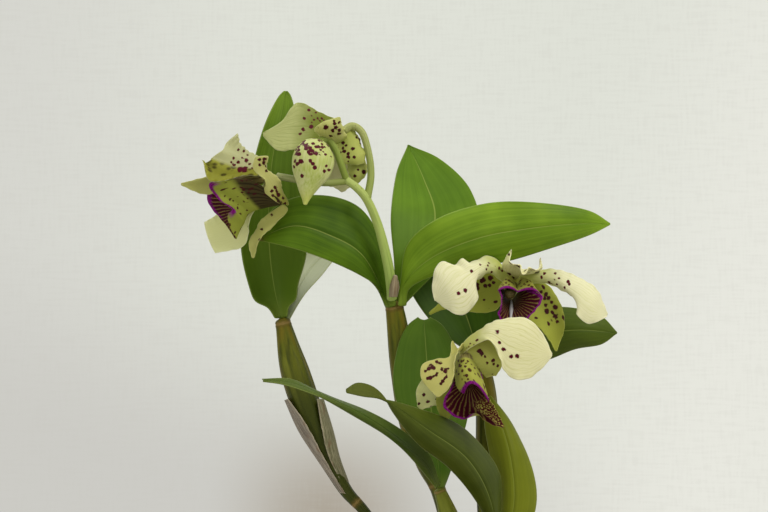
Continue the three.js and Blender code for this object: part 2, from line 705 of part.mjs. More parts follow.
// The filling: a relief of rings and sectors on top, a plain cone inside the wall below.
function makeMix() {
  const sectors = 24;
  const rings = 7;
  const innerRadius = (height) => wallRadius(height) - POT_WALL - 2 * CLEARANCE;
  const floor = POT_FLOOR + CLEARANCE;
  const shoulder = MIX_TOP - MIX_SHOULDER;
  const positions = [0, 0, MIX_TOP + barkHeight(0, 0)];
  const triangles = [];
  const corner = (ring, sector) => 1 + ring * sectors + (sector % sectors);
  for (let ring = 0; ring <= rings + 1; ring += 1) {
    const outer = ring >= rings;
    const height = ring > rings ? floor : shoulder;
    const radius = innerRadius(height) * (outer ? 1 : (ring + 1) / (rings + 1));
    for (let sector = 0; sector < sectors; sector += 1) {
      const angle = (2 * Math.PI * (sector + 0.5 * (ring % 2))) / sectors;
      const x = radius * Math.cos(angle);
      const y = radius * Math.sin(angle);
      positions.push(x, y, outer ? height : MIX_TOP + barkHeight(x, y));
    }
  }
  const bottom = positions.length / 3;
  positions.push(0, 0, floor);
  for (let sector = 0; sector < sectors; sector += 1) {
    triangles.push(0, corner(0, sector), corner(0, sector + 1));
    for (let ring = 0; ring <= rings; ring += 1) {
      const a = corner(ring, sector);
      const b = corner(ring, sector + 1);
      const c = corner(ring + 1, sector);
      const d = corner(ring + 1, sector + 1);
      if (ring % 2 === 0) triangles.push(a, c, b, b, c, d);
      else triangles.push(a, c, d, a, d, b);
    }
    triangles.push(corner(rings + 1, sector), bottom, corner(rings + 1, sector + 1));
  }
  return solidFrom(positions, triangles);
}

// Narrows a sheet down to the place that it grows from.
function rooted(form, root) {
  const nearer = (point) => root.map((value, i) => value + 0.3 * (point[i] - value));
  const { left, rib, right } = form;
  return {
    ...form,
    left: [nearer(left[0]), ...left],
    rib: [nearer(rib[0]), ...rib],
    right: [nearer(right[0]), ...right],
  };
}

function makePetals({ petals, column }, grow = 0) {
  const [foot] = column.path;
  return fuse([
    ball(foot, column.radii[0], grow),
    ...petals.map((form) => blade(rooted(form, foot), grow)),
    stem({ ...column, sides: 7, steps: 3 }, grow),
    ball(column.path.at(-1), column.radii.at(-1), grow),
  ]);
}

function makeSepals({ sepals, hub, chin, hubRadius }, grow = 0) {
  const solids = [ball(hub, hubRadius, grow)];
  if (chin) {
    const path = [hub, hub.map((value, i) => (value + chin[i]) / 2), chin];
    solids.push(stem({ path, radii: [hubRadius, 3, 2], sides: 8, steps: 3 }, grow));
    solids.push(ball(chin, 2, grow));
  }
  sepals.forEach((form) => {
    solids.push(blade(rooted(form, form.fromChin ? chin : hub), grow));
  });
  return fuse(solids);
}

const orchid = new THREE.Group();

function add(name, solid, colour, roughness) {
  const mesh = solid.simplify(TRIM).getMesh();
  const geometry = new THREE.BufferGeometry();
  geometry.setAttribute('position', new THREE.BufferAttribute(mesh.vertProperties, 3));
  geometry.setIndex(new THREE.BufferAttribute(mesh.triVerts, 1));
  geometry.computeVertexNormals();
  const material = new THREE.MeshStandardMaterial({ color: colour, roughness, metalness: 0 });
  const node = new THREE.Mesh(geometry, material);
  node.name = name;
  orchid.add(node);
}

const COLOURS = {
  clay: '#a9623f',
  bark: '#6b4a33',
  rhizome: '#7a7a45',
  cane: '#6f7a1e',
  leaf: '#4f7d1f',
  sheath: '#9a8c72',
  stalk: '#8aa044',
  sepal: '#a9b04e',
  petal: '#dfdcb2',
  lip: '#7a1c66',
  bud: '#a6b56a',
  bract: '#8c6446',
};

function buildPlant() {
  const grownCanes = Object.values(CANES).map((form) => stem(form, CLEARANCE));
  Object.entries(CANES).forEach(([name, form]) => add(name, stem(form), COLOURS.cane, 0.5));

  const roots = ROOTS.map((path) => ({ path, radii: [1.8, 1.7, 1.5], sides: 5, steps: 6 }));
  const rhizome = (grow) => fuse([stem(RHIZOME, grow), ...roots.map((root) => stem(root, grow))]);
  add('rhizome_and_roots', clearOf(rhizome(0), grownCanes), COLOURS.rhizome, 0.8);

  const buried = [...grownCanes, rhizome(CLEARANCE)];
  add('potting_mix', clearOf(makeMix(), buried), COLOURS.bark, 0.95);
  add('pot', makePot(), COLOURS.clay, 0.85);

  const leafSize = { thickness: LEAF_THICKNESS, steps: 11, across: 4 };
  const grownLeaves = [];
  Object.entries(LEAVES).forEach(([name, form]) => {
    const leaf = clearOf(blade({ ...leafSize, ...form }), [...grownCanes, ...grownLeaves]);
    add(name, leaf, COLOURS.leaf, 0.45);
    grownLeaves.push(blade({ ...leafSize, ...form }, CLEARANCE));
  });
  Object.entries(SHEATHS).forEach(([name, form]) => {
    add(name, clearOf(blade(form), grownCanes), COLOURS.sheath, 0.8);
  });

  const grownStems = [];
  Object.entries(FLOWER_STEMS).forEach(([name, parts]) => {
    const stalk = fuse(parts.map((part) => stem(part)));
    add(name, clearOf(stalk, [...grownCanes, ...grownLeaves]), COLOURS.stalk, 0.5);
    grownStems.push(fuse(parts.map((part) => stem(part, CLEARANCE))));
  });
  const around = [...grownStems, ...grownLeaves, ...grownCanes];
  add('bract', clearOf(blade(BRACT), around), COLOURS.bract, 0.8);

  Object.entries(BLOOMS).forEach(([name, bloom]) => {
    const grownPetals = makePetals(bloom, CLEARANCE);
    const grownSepals = makeSepals(bloom, CLEARANCE);
    const lip = fuse(bloom.lip.map((form) => blade(form)));
    add(`${name}_petals`, clearOf(makePetals(bloom), around), COLOURS.petal, 0.6);
    add(`${name}_sepals`, clearOf(makeSepals(bloom), [...around, grownPetals]), COLOURS.sepal, 0.6);
    add(`${name}_lip`, clearOf(lip, [...around, grownPetals, grownSepals]), COLOURS.lip, 0.6);
  });
  add('bud', clearOf(stem(BUD), grownStems), COLOURS.bud, 0.5);
}

buildPlant();

export default orchid;
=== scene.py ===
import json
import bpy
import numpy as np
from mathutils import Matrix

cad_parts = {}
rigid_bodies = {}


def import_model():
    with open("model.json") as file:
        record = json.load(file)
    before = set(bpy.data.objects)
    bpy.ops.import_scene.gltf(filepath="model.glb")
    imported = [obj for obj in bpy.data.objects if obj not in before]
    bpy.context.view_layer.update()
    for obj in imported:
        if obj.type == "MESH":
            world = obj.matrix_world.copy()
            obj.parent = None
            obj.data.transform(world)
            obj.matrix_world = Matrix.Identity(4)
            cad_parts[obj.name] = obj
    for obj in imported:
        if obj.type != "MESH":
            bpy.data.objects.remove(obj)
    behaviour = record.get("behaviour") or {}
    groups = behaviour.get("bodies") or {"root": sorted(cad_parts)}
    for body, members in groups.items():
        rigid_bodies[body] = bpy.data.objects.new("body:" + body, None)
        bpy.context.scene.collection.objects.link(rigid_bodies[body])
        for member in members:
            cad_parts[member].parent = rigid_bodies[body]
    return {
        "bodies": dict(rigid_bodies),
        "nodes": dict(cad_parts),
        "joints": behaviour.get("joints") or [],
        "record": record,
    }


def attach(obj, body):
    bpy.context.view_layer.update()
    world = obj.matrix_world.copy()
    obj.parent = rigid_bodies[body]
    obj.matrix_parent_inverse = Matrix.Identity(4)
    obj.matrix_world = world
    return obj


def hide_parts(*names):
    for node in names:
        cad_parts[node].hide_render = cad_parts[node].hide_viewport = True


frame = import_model()

# %% [markdown]
# ## A potted dendrobium, and the ruler it is drawn with
# The plant stands with its front towards -Y. Its curves are easiest to think of as somebody
# standing in front of it sees them, so every point below is a column, a row and a depth in
# millimetres behind the pot's middle, and `place` turns such points into metres. Nearer things
# look larger, so the step of the ruler grows with the depth.

MM = 0.001
GRID = 0.45 * MM
VIEW_DISTANCE = 1200 * MM
POT_COLUMN, GROUND_ROW = 460, 860
EYE_COLUMN, EYE_ROW = 384, 256
IMAGE_WIDTH = 768
EYE_X = (EYE_COLUMN - POT_COLUMN) * GRID
EYE_Z = (GROUND_ROW - EYE_ROW) * GRID
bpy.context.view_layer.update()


def place(points):
    """(column, row, depth) as metres: the ruler's step times (distance + depth) / distance."""
    points = np.asarray(points, float)
    depth = points[:, 2] * MM
    step = GRID * (VIEW_DISTANCE + depth) / VIEW_DISTANCE
    across = EYE_X + (points[:, 0] - EYE_COLUMN) * step
    up = EYE_Z + (EYE_ROW - points[:, 1]) * step
    return np.stack([across, depth, up], axis=1)


def sighted(points):
    """Column and row where the eye in front sees each point: place the other way round."""
    step = GRID * (VIEW_DISTANCE + points[..., 1]) / VIEW_DISTANCE
    columns = EYE_COLUMN + (points[..., 0] - EYE_X) / step
    rows = EYE_ROW - (points[..., 2] - EYE_Z) / step
    return np.stack([columns, rows], axis=-1)


# %% [markdown]
# ## Smooth lines
# An edge of a leaf could be a Bezier curve with handles, but a line that simply passes through
# a few points is easier to read and to mend. This is the centripetal Catmull-Rom spline: the
# time between two points is the square root of their distance, which keeps it free of loops.
# It is then walked in equal steps of length, so that a pattern along it isn't stretched.

# %% Lines through points
PIECE_STEPS = 24


def smooth_line(points, count):
    """Hermite pieces with the centripetal slopes between the points, in equal steps of length."""
    p = place(points)
    p = np.vstack([2 * p[0] - p[1], p, 2 * p[-1] - p[-2]])
    gap = np.linalg.norm(np.diff(p, axis=0), axis=1)[:, None] ** 0.5
    before, middle, after = gap[:-2], gap[1:-1], gap[2:]
    back, start, end, on = p[:-3], p[1:-2], p[2:-1], p[3:]
    leave = ((start - back) / before - (end - back) / (before + middle)) * middle + end - start
    reach = ((on - end) / after - (on - start) / (middle + after)) * middle + end - start
    t = np.linspace(0, 1, PIECE_STEPS, endpoint=False)[None, :, None]
    start, end, leave, reach = (a[:, None, :] for a in (start, end, leave, reach))
    bend = (-3 * start + 3 * end - 2 * leave - reach) * t ** 2
    line = start + leave * t + bend + (2 * start - 2 * end + leave + reach) * t ** 3
    return equal_steps(np.vstack([line.reshape(-1, 3), p[-2]]), np.linspace(0, 1, count))


def equal_steps(line, shares):
    """Points of a dense line at the given shares of its length."""
    walked = np.concatenate([[0], np.cumsum(np.linalg.norm(np.diff(line, axis=0), axis=1))])
    return np.stack([np.interp(shares * walked[-1], walked, line[:, k]) for k in range(3)], axis=1)


def smooth_values(values, shares):
    """A curve of numbers through the values, evenly spaced: the uniform Catmull-Rom spline."""
    v = np.asarray(values, float)
    v = np.concatenate([[v[0]], v, [v[-1]]])
    place_on = shares * (len(values) - 1)
    i = np.minimum(place_on.astype(int), len(values) - 2)
    t = place_on - i
    a, b, c, d = v[i], v[i + 1], v[i + 2], v[i + 3]
    return b + 0.5 * t * (c - a + t * (2 * a - 5 * b + 4 * c - d + t * (3 * b - 3 * c + d - a)))


def unit(vectors):
    """Each vector over its own length."""
    return vectors / np.maximum(np.linalg.norm(vectors, axis=-1, keepdims=True), 1e-12)


def eased(value, low, high):
    """0 below low, 1 above high, and the curve 3t^2 - 2t^3 between them."""
    t = np.clip((value - low) / (high - low), 0, 1)
    return t * t * (3 - 2 * t)


print("a leaf's rib in 5 steps:", smooth_line([[0, 0, 0], [10, 9, 0], [30, 12, 0]], 5)[:, 0].round(4))

# %% [markdown]
# ## From arrays to a piece
# Every living part below comes out as whole arrays: points, the faces between them, and for
# each point what its finish needs to know. `grain` is where the point lies on the surface in
# millimetres, with +1 or -1 for its face, and `share` is the same place from edge to edge and
# from foot to tip, with the distance to the free edge. A pattern that reads them follows the
# surface and its veins, which a pattern in plain space can't do.

# %% Making a mesh from arrays
POINT_FIELDS = ("points", "grain", "share", "spot")
NO_SPOT = 9.0
NO_ENDS = np.zeros((0, 3), int)


def stitched(parts):
    """One part from several: the arrays follow each other and the faces are renumbered."""
    offsets = np.cumsum([0] + [len(part["points"]) for part in parts])
    quads = [part["quads"] + start for part, start in zip(parts, offsets)]
    ends = [part["ends"] + start for part, start in zip(parts, offsets) if len(part["ends"])]
    joined = {key: np.concatenate([part[key] for part in parts]) for key in POINT_FIELDS}
    joined["quads"] = np.concatenate(quads)
    joined["ends"] = np.concatenate(ends) if ends else NO_ENDS
    return joined


def make_piece(name, part, finish, nodes):
    """Puts the arrays into a mesh with foreach_set and hands the piece to the frame."""
    mesh = bpy.data.meshes.new(name)
    quads, ends = part["quads"], part["ends"]
    corners = np.concatenate([quads.ravel(), ends.ravel()]).astype(np.int32)
    sizes = np.concatenate([np.full(len(quads), 4), np.full(len(ends), 3)])
    starts = np.concatenate([[0], np.cumsum(sizes)[:-1]])
    mesh.vertices.add(len(part["points"]))
    mesh.vertices.foreach_set("co", part["points"].astype(np.float32).ravel())
    mesh.loops.add(len(corners))
    mesh.loops.foreach_set("vertex_index", corners)
    mesh.polygons.add(len(sizes))
    mesh.polygons.foreach_set("loop_start", starts.astype(np.int32))
    mesh.polygons.foreach_set("use_smooth", np.ones(len(sizes), bool))
    for key in ("grain", "share"):
        values = mesh.attributes.new(key, "FLOAT_VECTOR", "POINT")
        values.data.foreach_set("vector", part[key].astype(np.float32).ravel())
    spot = mesh.attributes.new("spot", "FLOAT", "POINT")
    spot.data.foreach_set("value", part["spot"].astype(np.float32))
    mesh.update(calc_edges=True)
    mesh.validate()
    piece = bpy.data.objects.new(name, mesh)
    bpy.context.scene.collection.objects.link(piece)
    mesh.materials.append(finish)
    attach(piece, "root")
    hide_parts(*nodes)
    return piece


def grid_quads(rows, columns, closed=False):
    """Four corners for each cell of a grid; a closed grid's last column meets its first."""
    i = np.arange(rows - 1)[:, None]
    j = np.arange(columns if closed else columns - 1)[None, :]
    after = (j + 1) % columns
    cells = [i * columns + j, i * columns + after, (i + 1) * columns + after, (i + 1) * columns + j]
    return np.stack(cells, axis=-1).reshape(-1, 4)


def pole_fans(count, sides):
    """Triangles to the rings of count points from the two poles, which are the points after them."""
    first = np.arange(sides)
    after = (first + 1) % sides
    last = count - sides
    foot = np.stack([np.full(sides, count), after, first], axis=1)
    top = np.stack([np.full(sides, count + 1), last + first, last + after], axis=1)
    return np.concatenate([foot, top])


# %% [markdown]
# ## A blade: leaf, petal, sepal or lip
# All of them are one thin sheet between a left edge and a right edge, with a rib between. Across
# the sheet the section is the parabola through these three, so a rib in front of its edges makes
# an arch and a rib behind them a trough. The edge of a petal is longer than its middle, and so it
# waves: the wave grows with the cube of the distance from the rib. The sheet then gets its two
# faces, half a thickness to each side, thinner towards the edge, and a rim that closes it.

# %% Blades
LEAF_THICKNESS = 1.0 * MM
PETAL_THICKNESS = 0.7 * MM
ROOT_SHARE = 0.3


def outline(left, rib, right, **words):
    """A blade's form: its three lines, with its spots as (column, row, radius) and its waves."""
    return {"left": left, "rib": rib, "right": right, **words}


def rooted(form, root):
    """The blade's three lines, each led on from a point three tenths of the way out from its root."""
    root = np.asarray(root, float)
    lines = {}
    for edge in ("left", "rib", "right"):
        start = root + ROOT_SHARE * (np.array(form[edge][0]) - root)
        lines[edge] = [list(start)] + form[edge]
    return {**form, **lines}


def ruffle(form, u, v):
    """wave |v|^3 sin(pi u) sin(2 pi waves u) at the sides, frill u^3 cos(3 pi v) at the end, and ripple."""
    side = np.where(v > 0, 1.3, 0)
    along = np.sin(np.pi * u) * np.sin(2 * np.pi * form.get("waves", 3) * u + side)
    lift = form.get("wave", 0) * np.abs(v) ** 3 * along
    lift = lift + form.get("frill", 0) * u ** 3 * np.cos(3 * np.pi * v)
    fine = np.sin(2 * np.pi * 7 * u + 2 * side) * np.sin(2 * np.pi * 3.1 * u + 1)
    return (lift + form.get("ripple", 0) * np.abs(v) ** 6 * fine * eased(u, 0.1, 0.4)) * MM


def blade(form, thickness=PETAL_THICKNESS, rows=72, columns=41, crease=0.0):
    """point = rib + v (right - left) / 2 + v^2 (middle of the edges - rib), then both faces off it.

    A bite of u^6 (1 - cos 2 pi v) / 2 hollows the far end on both sides of the rib.
    """
    left, rib, right = (smooth_line(form[edge], rows)[:, None] for edge in ("left", "rib", "right"))
    u = np.linspace(0, 1, rows)[:, None]
    v = np.linspace(-1, 1, columns)[None, :]
    sheet = rib + v[..., None] * (right - left) / 2 + (v ** 2)[..., None] * ((left + right) / 2 - rib)
    inward = unit(rib[0] - rib[-1])
    bite = form.get("bite", 0) * MM * u ** 6 * (1 - np.cos(2 * np.pi * v)) / 2
    sheet = sheet + bite[..., None] * inward
    groove = -crease * MM * np.exp(-(v / 0.07) ** 2) * np.sin(np.pi * np.clip(u, 0.02, 0.98)) ** 0.5
    sheet = sheet + (ruffle(form, u, v) + groove)[..., None] * sheet_normal(sheet)
    normal = sheet_normal(sheet)
    half = thickness / 2 * (1 - 0.55 * v ** 4) * (1 - 0.4 * u ** 6)
    from_left = walked(sheet, 1)
    along = walked(rib, 0) + 0 * v
    across = from_left - from_left[:, columns // 2, None]
    margin = np.minimum(np.minimum(from_left, from_left[:, -1:] - from_left), along[-1] - along)
    flat = np.stack([across, along, 0 * along], axis=-1)
    spot = spot_distance(form.get("spots", ()), sheet, flat)
    upper = -1 if form.get("turned") else 1
    faces = [sheet + half[..., None] * normal, sheet - half[..., None] * normal]
    cells = grid_quads(rows, columns)
    return {
        "points": np.concatenate([face.reshape(-1, 3) for face in faces]),
        "quads": np.concatenate([cells, cells[:, ::-1] + rows * columns, rim_quads(rows, columns)]),
        "ends": NO_ENDS,
        "grain": np.concatenate([stacked(across, along, side + 0 * v) for side in (upper, -upper)]),
        "share": np.concatenate([stacked(v + 0 * u, u + 0 * v, margin)] * 2),
        "spot": np.concatenate([spot.ravel()] * 2),
    }


def walked(grid, axis):
    """How far each point of a grid lies along its line, in millimetres of surface."""
    steps = np.linalg.norm(np.diff(grid, axis=axis), axis=2) / MM
    return np.insert(np.cumsum(steps, axis=axis), 0, 0, axis=axis)


def stacked(*fields):
    """Several fields on one grid as a list of vectors."""
    return np.stack(np.broadcast_arrays(*fields), axis=-1).reshape(-1, len(fields))


def sheet_normal(sheet):
    """The across direction crossed with the along direction."""
    return unit(np.cross(np.gradient(sheet, axis=1), np.gradient(sheet, axis=0)))


def rim_quads(rows, columns):
    """A strip between the two faces, once round the border of the grid."""
    near = np.arange(columns)
    side = np.arange(rows) * columns
    out, back = [near[:-1], side[:-1] + columns - 1], [near[:0:-1] + side[-1], side[:0:-1]]
    round_trip = np.concatenate(out + back)
    after = np.roll(round_trip, -1)
    layer = rows * columns
    return np.stack([round_trip, round_trip + layer, after + layer, after], axis=1)


SAME_PLACE = 1.2


def spot_distance(spots, surface, grain):
    """Radii to the nearest listed spot as seen from in front, and at least half those on the surface.

    Of the points that are seen at the same place, the one nearest to the eye carries the spot.
    """
    distance = np.full(surface.shape[:2], NO_SPOT)
    seen = sighted(surface)
    for column, row, radius in spots:
        miss = np.hypot(seen[..., 0] - column, seen[..., 1] - row)
        near = miss < miss.min() + SAME_PLACE
        best = np.argmin(np.where(near, surface[..., 1], np.inf))
        middle = grain.reshape(-1, 3)[best]
        away = np.linalg.norm(grain - middle, axis=-1) * MM / (radius * GRID)
        distance = np.minimum(distance, np.maximum(miss / radius, away / 2))
    return distance


trial = blade(outline([[0, 0, 0], [0, 40, 0]], [[9, 0, 2], [9, 40, 2]], [[18, 0, 0], [18, 40, 0]]))
print("a trial blade:", len(trial["points"]), "points,", len(trial["quads"]), "faces")

# %% [markdown]
# ## A stem: cane, stalk, root or bud
# A stem is a ring carried along a line. Each ring needs two directions square to the line; they
# come from crossing the line's own direction with the axis that it runs along least, which never
# twists on lines as gentle as these. The radius is a curve of numbers, and `relief` may swell the
# ring by a function of the place along it and the angle round it: ridges, rings and seams.

# %% Stems
STEM_STEPS = 400


def stem(path, radii, rows=96, sides=32, relief=None, cap=0.5, spots=()):
    """point = line + radius (1 + relief(u, angle)) (normal cos angle + binormal sin angle).

    Its ends are rounded over cap times the radius.
    """
    u = (1 - np.cos(np.linspace(0, np.pi, rows))) / 2
    line = equal_steps(smooth_line(path, STEM_STEPS), u)
    heading = unit(np.gradient(line, axis=0))
    axis = np.eye(3)[np.argmin(np.abs(heading).max(axis=0))]
    normal = unit(np.cross(heading, axis))
    binormal = np.cross(heading, normal)
    length = np.linalg.norm(np.diff(line, axis=0), axis=1).sum() / MM
    radius = smooth_values(radii, u)
    reach = np.minimum(u, 1 - u) * length / np.maximum(cap * radius, 1e-6)
    radius = radius * np.sqrt(1 - (1 - np.minimum(reach, 1)) ** 2)
    angle = np.arange(sides) * 2 * np.pi / sides
    swell = 1 + (relief(u[:, None], angle[None, :]) if relief else 0)
    ring = (radius[:, None] * swell)[1:-1]
    cosine, sine = np.cos(angle)[None, :, None], np.sin(angle)[None, :, None]
    spread = cosine * normal[1:-1, None] + sine * binormal[1:-1, None]
    rings = line[1:-1, None] + ring[..., None] * MM * spread
    along = (u[1:-1] * length)[:, None] + 0 * angle
    round_about = radius[1:-1, None]
    grain = stacked(round_about * np.cos(angle), round_about * np.sin(angle), along)
    spot = spot_distance(spots, rings, grain.reshape(rings.shape))
    share = stacked(angle / np.pi - 1 + 0 * along, u[1:-1, None] + 0 * along, along)
    return {
        "points": np.vstack([rings.reshape(-1, 3), line[:1], line[-1:]]),
        "quads": grid_quads(rows - 2, sides, closed=True),
        "ends": pole_fans((rows - 2) * sides, sides),
        "grain": np.vstack([grain, [[0, 0, 0], [0, 0, length]]]),
        "share": np.vstack([share, [[0, 0, 0], [0, 1, length]]]),
        "spot": np.append(spot.ravel(), [NO_SPOT, NO_SPOT]),
    }


# %% [markdown]
# ## Finishes written as sums
# A finish is a small graph of nodes. Drawing it by code takes a line for each node and each link,
# which hides what it says. Here a socket is wrapped in a class with the signs of arithmetic, so a
# sum of sockets adds the Math nodes that it needs. Colours can't go through Math, which would turn
# them grey, so they are mixed by a Mix node, and every other node comes from the method `node`.

# %% Sockets with arithmetic
LIT_SHARE = 0.74
LIVING = {"Subsurface_weight": 0.08, "Subsurface_scale": 2 * MM, "Subsurface_radius": (1.0, 1.0, 0.7)}
PETAL_GLOW = {"Subsurface_weight": 0.3, "Subsurface_scale": 2 * MM, "Subsurface_radius": (1.0, 1.0, 0.8)}


class Wire:
    """A socket of the tree that is being drawn; its operators add Math nodes."""

    tree = None

    def __init__(self, socket):
        self.socket = socket

    @classmethod
    def node(cls, kind, settings=None, inputs=None, output=0):
        """Adds a node of a kind, sets its settings, then fills or links its sockets."""
        node = cls.tree.nodes.new("ShaderNode" + kind)
        for name, value in (settings or {}).items():
            setattr(node, name, value)
        for key, value in (inputs or {}).items():
            if isinstance(value, Wire):
                cls.tree.links.new(value.socket, node.inputs[key])
            else:
                node.inputs[key].default_value = value
        return cls(node.outputs[output])

    def __add__(self, other):
        return math("ADD", self, other)

    def __sub__(self, other):
        return math("SUBTRACT", self, other)

    def __rsub__(self, other):
        return math("SUBTRACT", other, self)

    def __mul__(self, other):
        return math("MULTIPLY", self, other)

    def __abs__(self):
        return math("ABSOLUTE", self)

    __radd__ = __add__


def math(operation, *values):
    """One Math node on one, two or three values."""
    return Wire.node("Math", {"operation": operation}, dict(enumerate(values)))


def smooth(value, low, high):
    """0 at low and 1 at high, with a soft start and end; low may be the larger."""
    turned = low > high
    limits = {"Value": value, "From Min": min(low, high), "From Max": max(low, high)}
    if turned:
        limits.update({"To Min": 1.0, "To Max": 0.0})
    return Wire.node("MapRange", {"interpolation_type": "SMOOTHSTEP"}, limits)


def blend(first, second, share):
    """A Mix node on two colours."""
    return Wire.node("Mix", {"data_type": "RGBA"}, {0: share, 6: first, 7: second}, output=2)


def scaled(vector, x, y, z):
    """A vector times three numbers."""
    return Wire.node("VectorMath", {"operation": "MULTIPLY"}, {0: vector, 1: (x, y, z)})


def attribute(name, output=1):
    """A field that the mesh carries: output 1 is a vector, output 2 a number."""
    return Wire.node("Attribute", {"attribute_name": name}, output=output)


def part_of(vector, axis):
    """The X, Y or Z of a vector."""
    return Wire.node("SeparateXYZ", None, {0: vector}, output="XYZ".index(axis))


def in_space():
    """The place in the piece's own space."""
    return Wire.node("TexCoord", output=3)


def noise(vector, scale, detail=2.0, rough=0.5):
    """Noise from 0 to 1 at a number of waves for each unit of the vector."""
    inputs = {"Vector": vector, "Scale": scale, "Detail": detail, "Roughness": rough}
    return Wire.node("TexNoise", None, inputs)


def cells(vector, scale, output=0):
    """Voronoi cells: output 0 is the distance to the nearest point, output 1 a colour for each cell."""
    return Wire.node("TexVoronoi", None, {"Vector": vector, "Scale": scale}, output=output)


def paint(red, green, blue, share=LIT_SHARE):
    """A colour as a screen shows it, from 0 to 255, as the share of light that a lit surface returns."""
    values = np.array([red, green, blue]) / 255
    linear = np.where(values < 0.04045, values / 12.92, ((values + 0.055) / 1.055) ** 2.4)
    return (*map(float, linear * share), 1.0)


def begin(name):
    """A new material, whose tree the wires are drawn in from here on."""
    material = bpy.data.materials.new(name)
    material.use_nodes = True
    Wire.tree = material.node_tree
    return material


def dress(material, colour, roughness, height=None, depth=0.1 * MM, **fixed):
    """Feeds colour, roughness and a bump of a depth to the shader; fixed values go on its own sockets."""
    shader = material.node_tree.nodes["Principled BSDF"]
    links = material.node_tree.links
    for key, value in {"Base Color": colour, "Roughness": roughness}.items():
        if isinstance(value, Wire):
            links.new(value.socket, shader.inputs[key])
        else:
            shader.inputs[key].default_value = value
    if height is not None:
        bump = Wire.node("Bump", None, {"Strength": 1.0, "Distance": depth, "Height": height})
        links.new(bump.socket, shader.inputs["Normal"])
    for key, value in fixed.items():
        socket = key.replace("_", " ").title().replace("Ior", "IOR")
        shader.inputs[socket].default_value = value
    return material


print("mid grey as light:", round(paint(128, 128, 128, 1)[0], 3))

# %% [markdown]
# ## Leaf finish
# The leaves are thick, smooth and waxy. Their veins lie deep and show only as faint streaks from
# end to end, so they are a noise that is stretched along the blade. The rib is a pale line between
# two darker flanks, the edge a thin yellowish one, and cloudy patches keep the green alive. Each
# leaf hangs in its own light and age, so each has its own bright, dark and underside green, and
# some leaves are painted darker towards their foot as shade.

# %% Leaf finish
def leaf_finish(name, bright, dark, under, foot_shade=0.0, specks=0.0, stain=0.0):
    """green = dark to bright by cloudy patches and streaks, then the rib, the edge and the foot."""
    material = begin(name)
    grain, share = attribute("grain"), attribute("share")
    across, along, margin = (part_of(share, axis) for axis in "XYZ")
    cloud = noise(in_space(), 24.0, 3.0, 0.6)
    streak = noise(scaled(share, 9.0, 0.5, 0), 1.0, 3.0, 0.6)
    light = smooth(cloud * 0.65 + streak * 0.35, 0.30, 0.70)
    green = blend(dark, bright, light)
    # painted shade: by foot_shade the green darkens towards the foot, lit above and shaded below
    green = blend(green, dark, smooth(along, 0.75, 0.15) * foot_shade)
    green = blend(green, dark, smooth(abs(across), 0.30, 0.04) * 0.3)
    # a pale line on the rib: partly the rib's own colour, partly a painted highlight along it
    green = blend(green, paint(160, 172, 84), smooth(abs(across), 0.030, 0.004) * 0.5)
    green = blend(green, paint(150, 160, 85), smooth(margin, 0.45, 0.1) * 0.35)
    green = blend(green, paint(134, 150, 62), smooth(along, 0.12, 0.0) * 0.4)
    speck = smooth(cells(scaled(grain, 0.045, 0.045, 0), 1.0), 0.030, 0.018) * specks
    green = blend(green, paint(28, 26, 14), speck)
    worn = smooth(along + noise(grain, 0.2) * 0.2, 1.0, 1.14) * stain
    green = blend(green, paint(84, 74, 30), worn)
    face = smooth(part_of(grain, "Z"), -0.6, 0.6)
    below = blend(under, dark, cloud * 0.3)
    below = blend(below, bright, smooth(abs(across), 0.05, 0.01) * 0.35)
    colour = blend(below, green, face)
    height = streak * 0.5 + noise(in_space(), 500.0, 2.0) * 0.15 + cloud * 0.3
    rough = 0.40 + cloud * 0.12 + (1 - face) * 0.10
    return dress(material, colour, rough, height, 0.12 * MM, **LIVING, Specular_ior_level=0.07)


# %% [markdown]
# ## Petal and sepal finish
# These are cream or yellow green, translucent and very finely veined. Two kinds of maroon spot lie
# on them. The few that an eye remembers are listed with their blade and arrive as the `spot`
# attribute. The rest are Voronoi cells in surface millimetres, stretched along the veins: only
# some cells carry a spot, and the farther from the foot, the fewer. Both have edges that a fine
# noise makes uneven, because the colour sits in single cells of the skin.

# %% Petal finish
MAROON = paint(82, 12, 30)
DARK_MAROON = paint(64, 16, 22)
VIOLET = paint(136, 26, 130)


def spots(grain, along, density, size, reach):
    """1 inside a spot: the listed ones, and chance ones that stop where the share along passes reach."""
    jitter = noise(grain, 0.9, 3.0) - 0.5
    listed = smooth(attribute("spot", 2) + jitter * 1.5, 1.25, 0.85)
    spread = scaled(grain, 1 / size, 0.72 / size, 0)
    near = cells(spread, 1.0) + jitter * 0.35
    lot = part_of(cells(spread, 1.0, output=1), "X")
    passed = smooth(along, reach - 0.25, reach + 0.15) * 0.8
    strewn = smooth(near, 0.42, 0.30) * smooth(lot + passed, density + 0.02, density - 0.02)
    return math("MAXIMUM", listed, strewn)


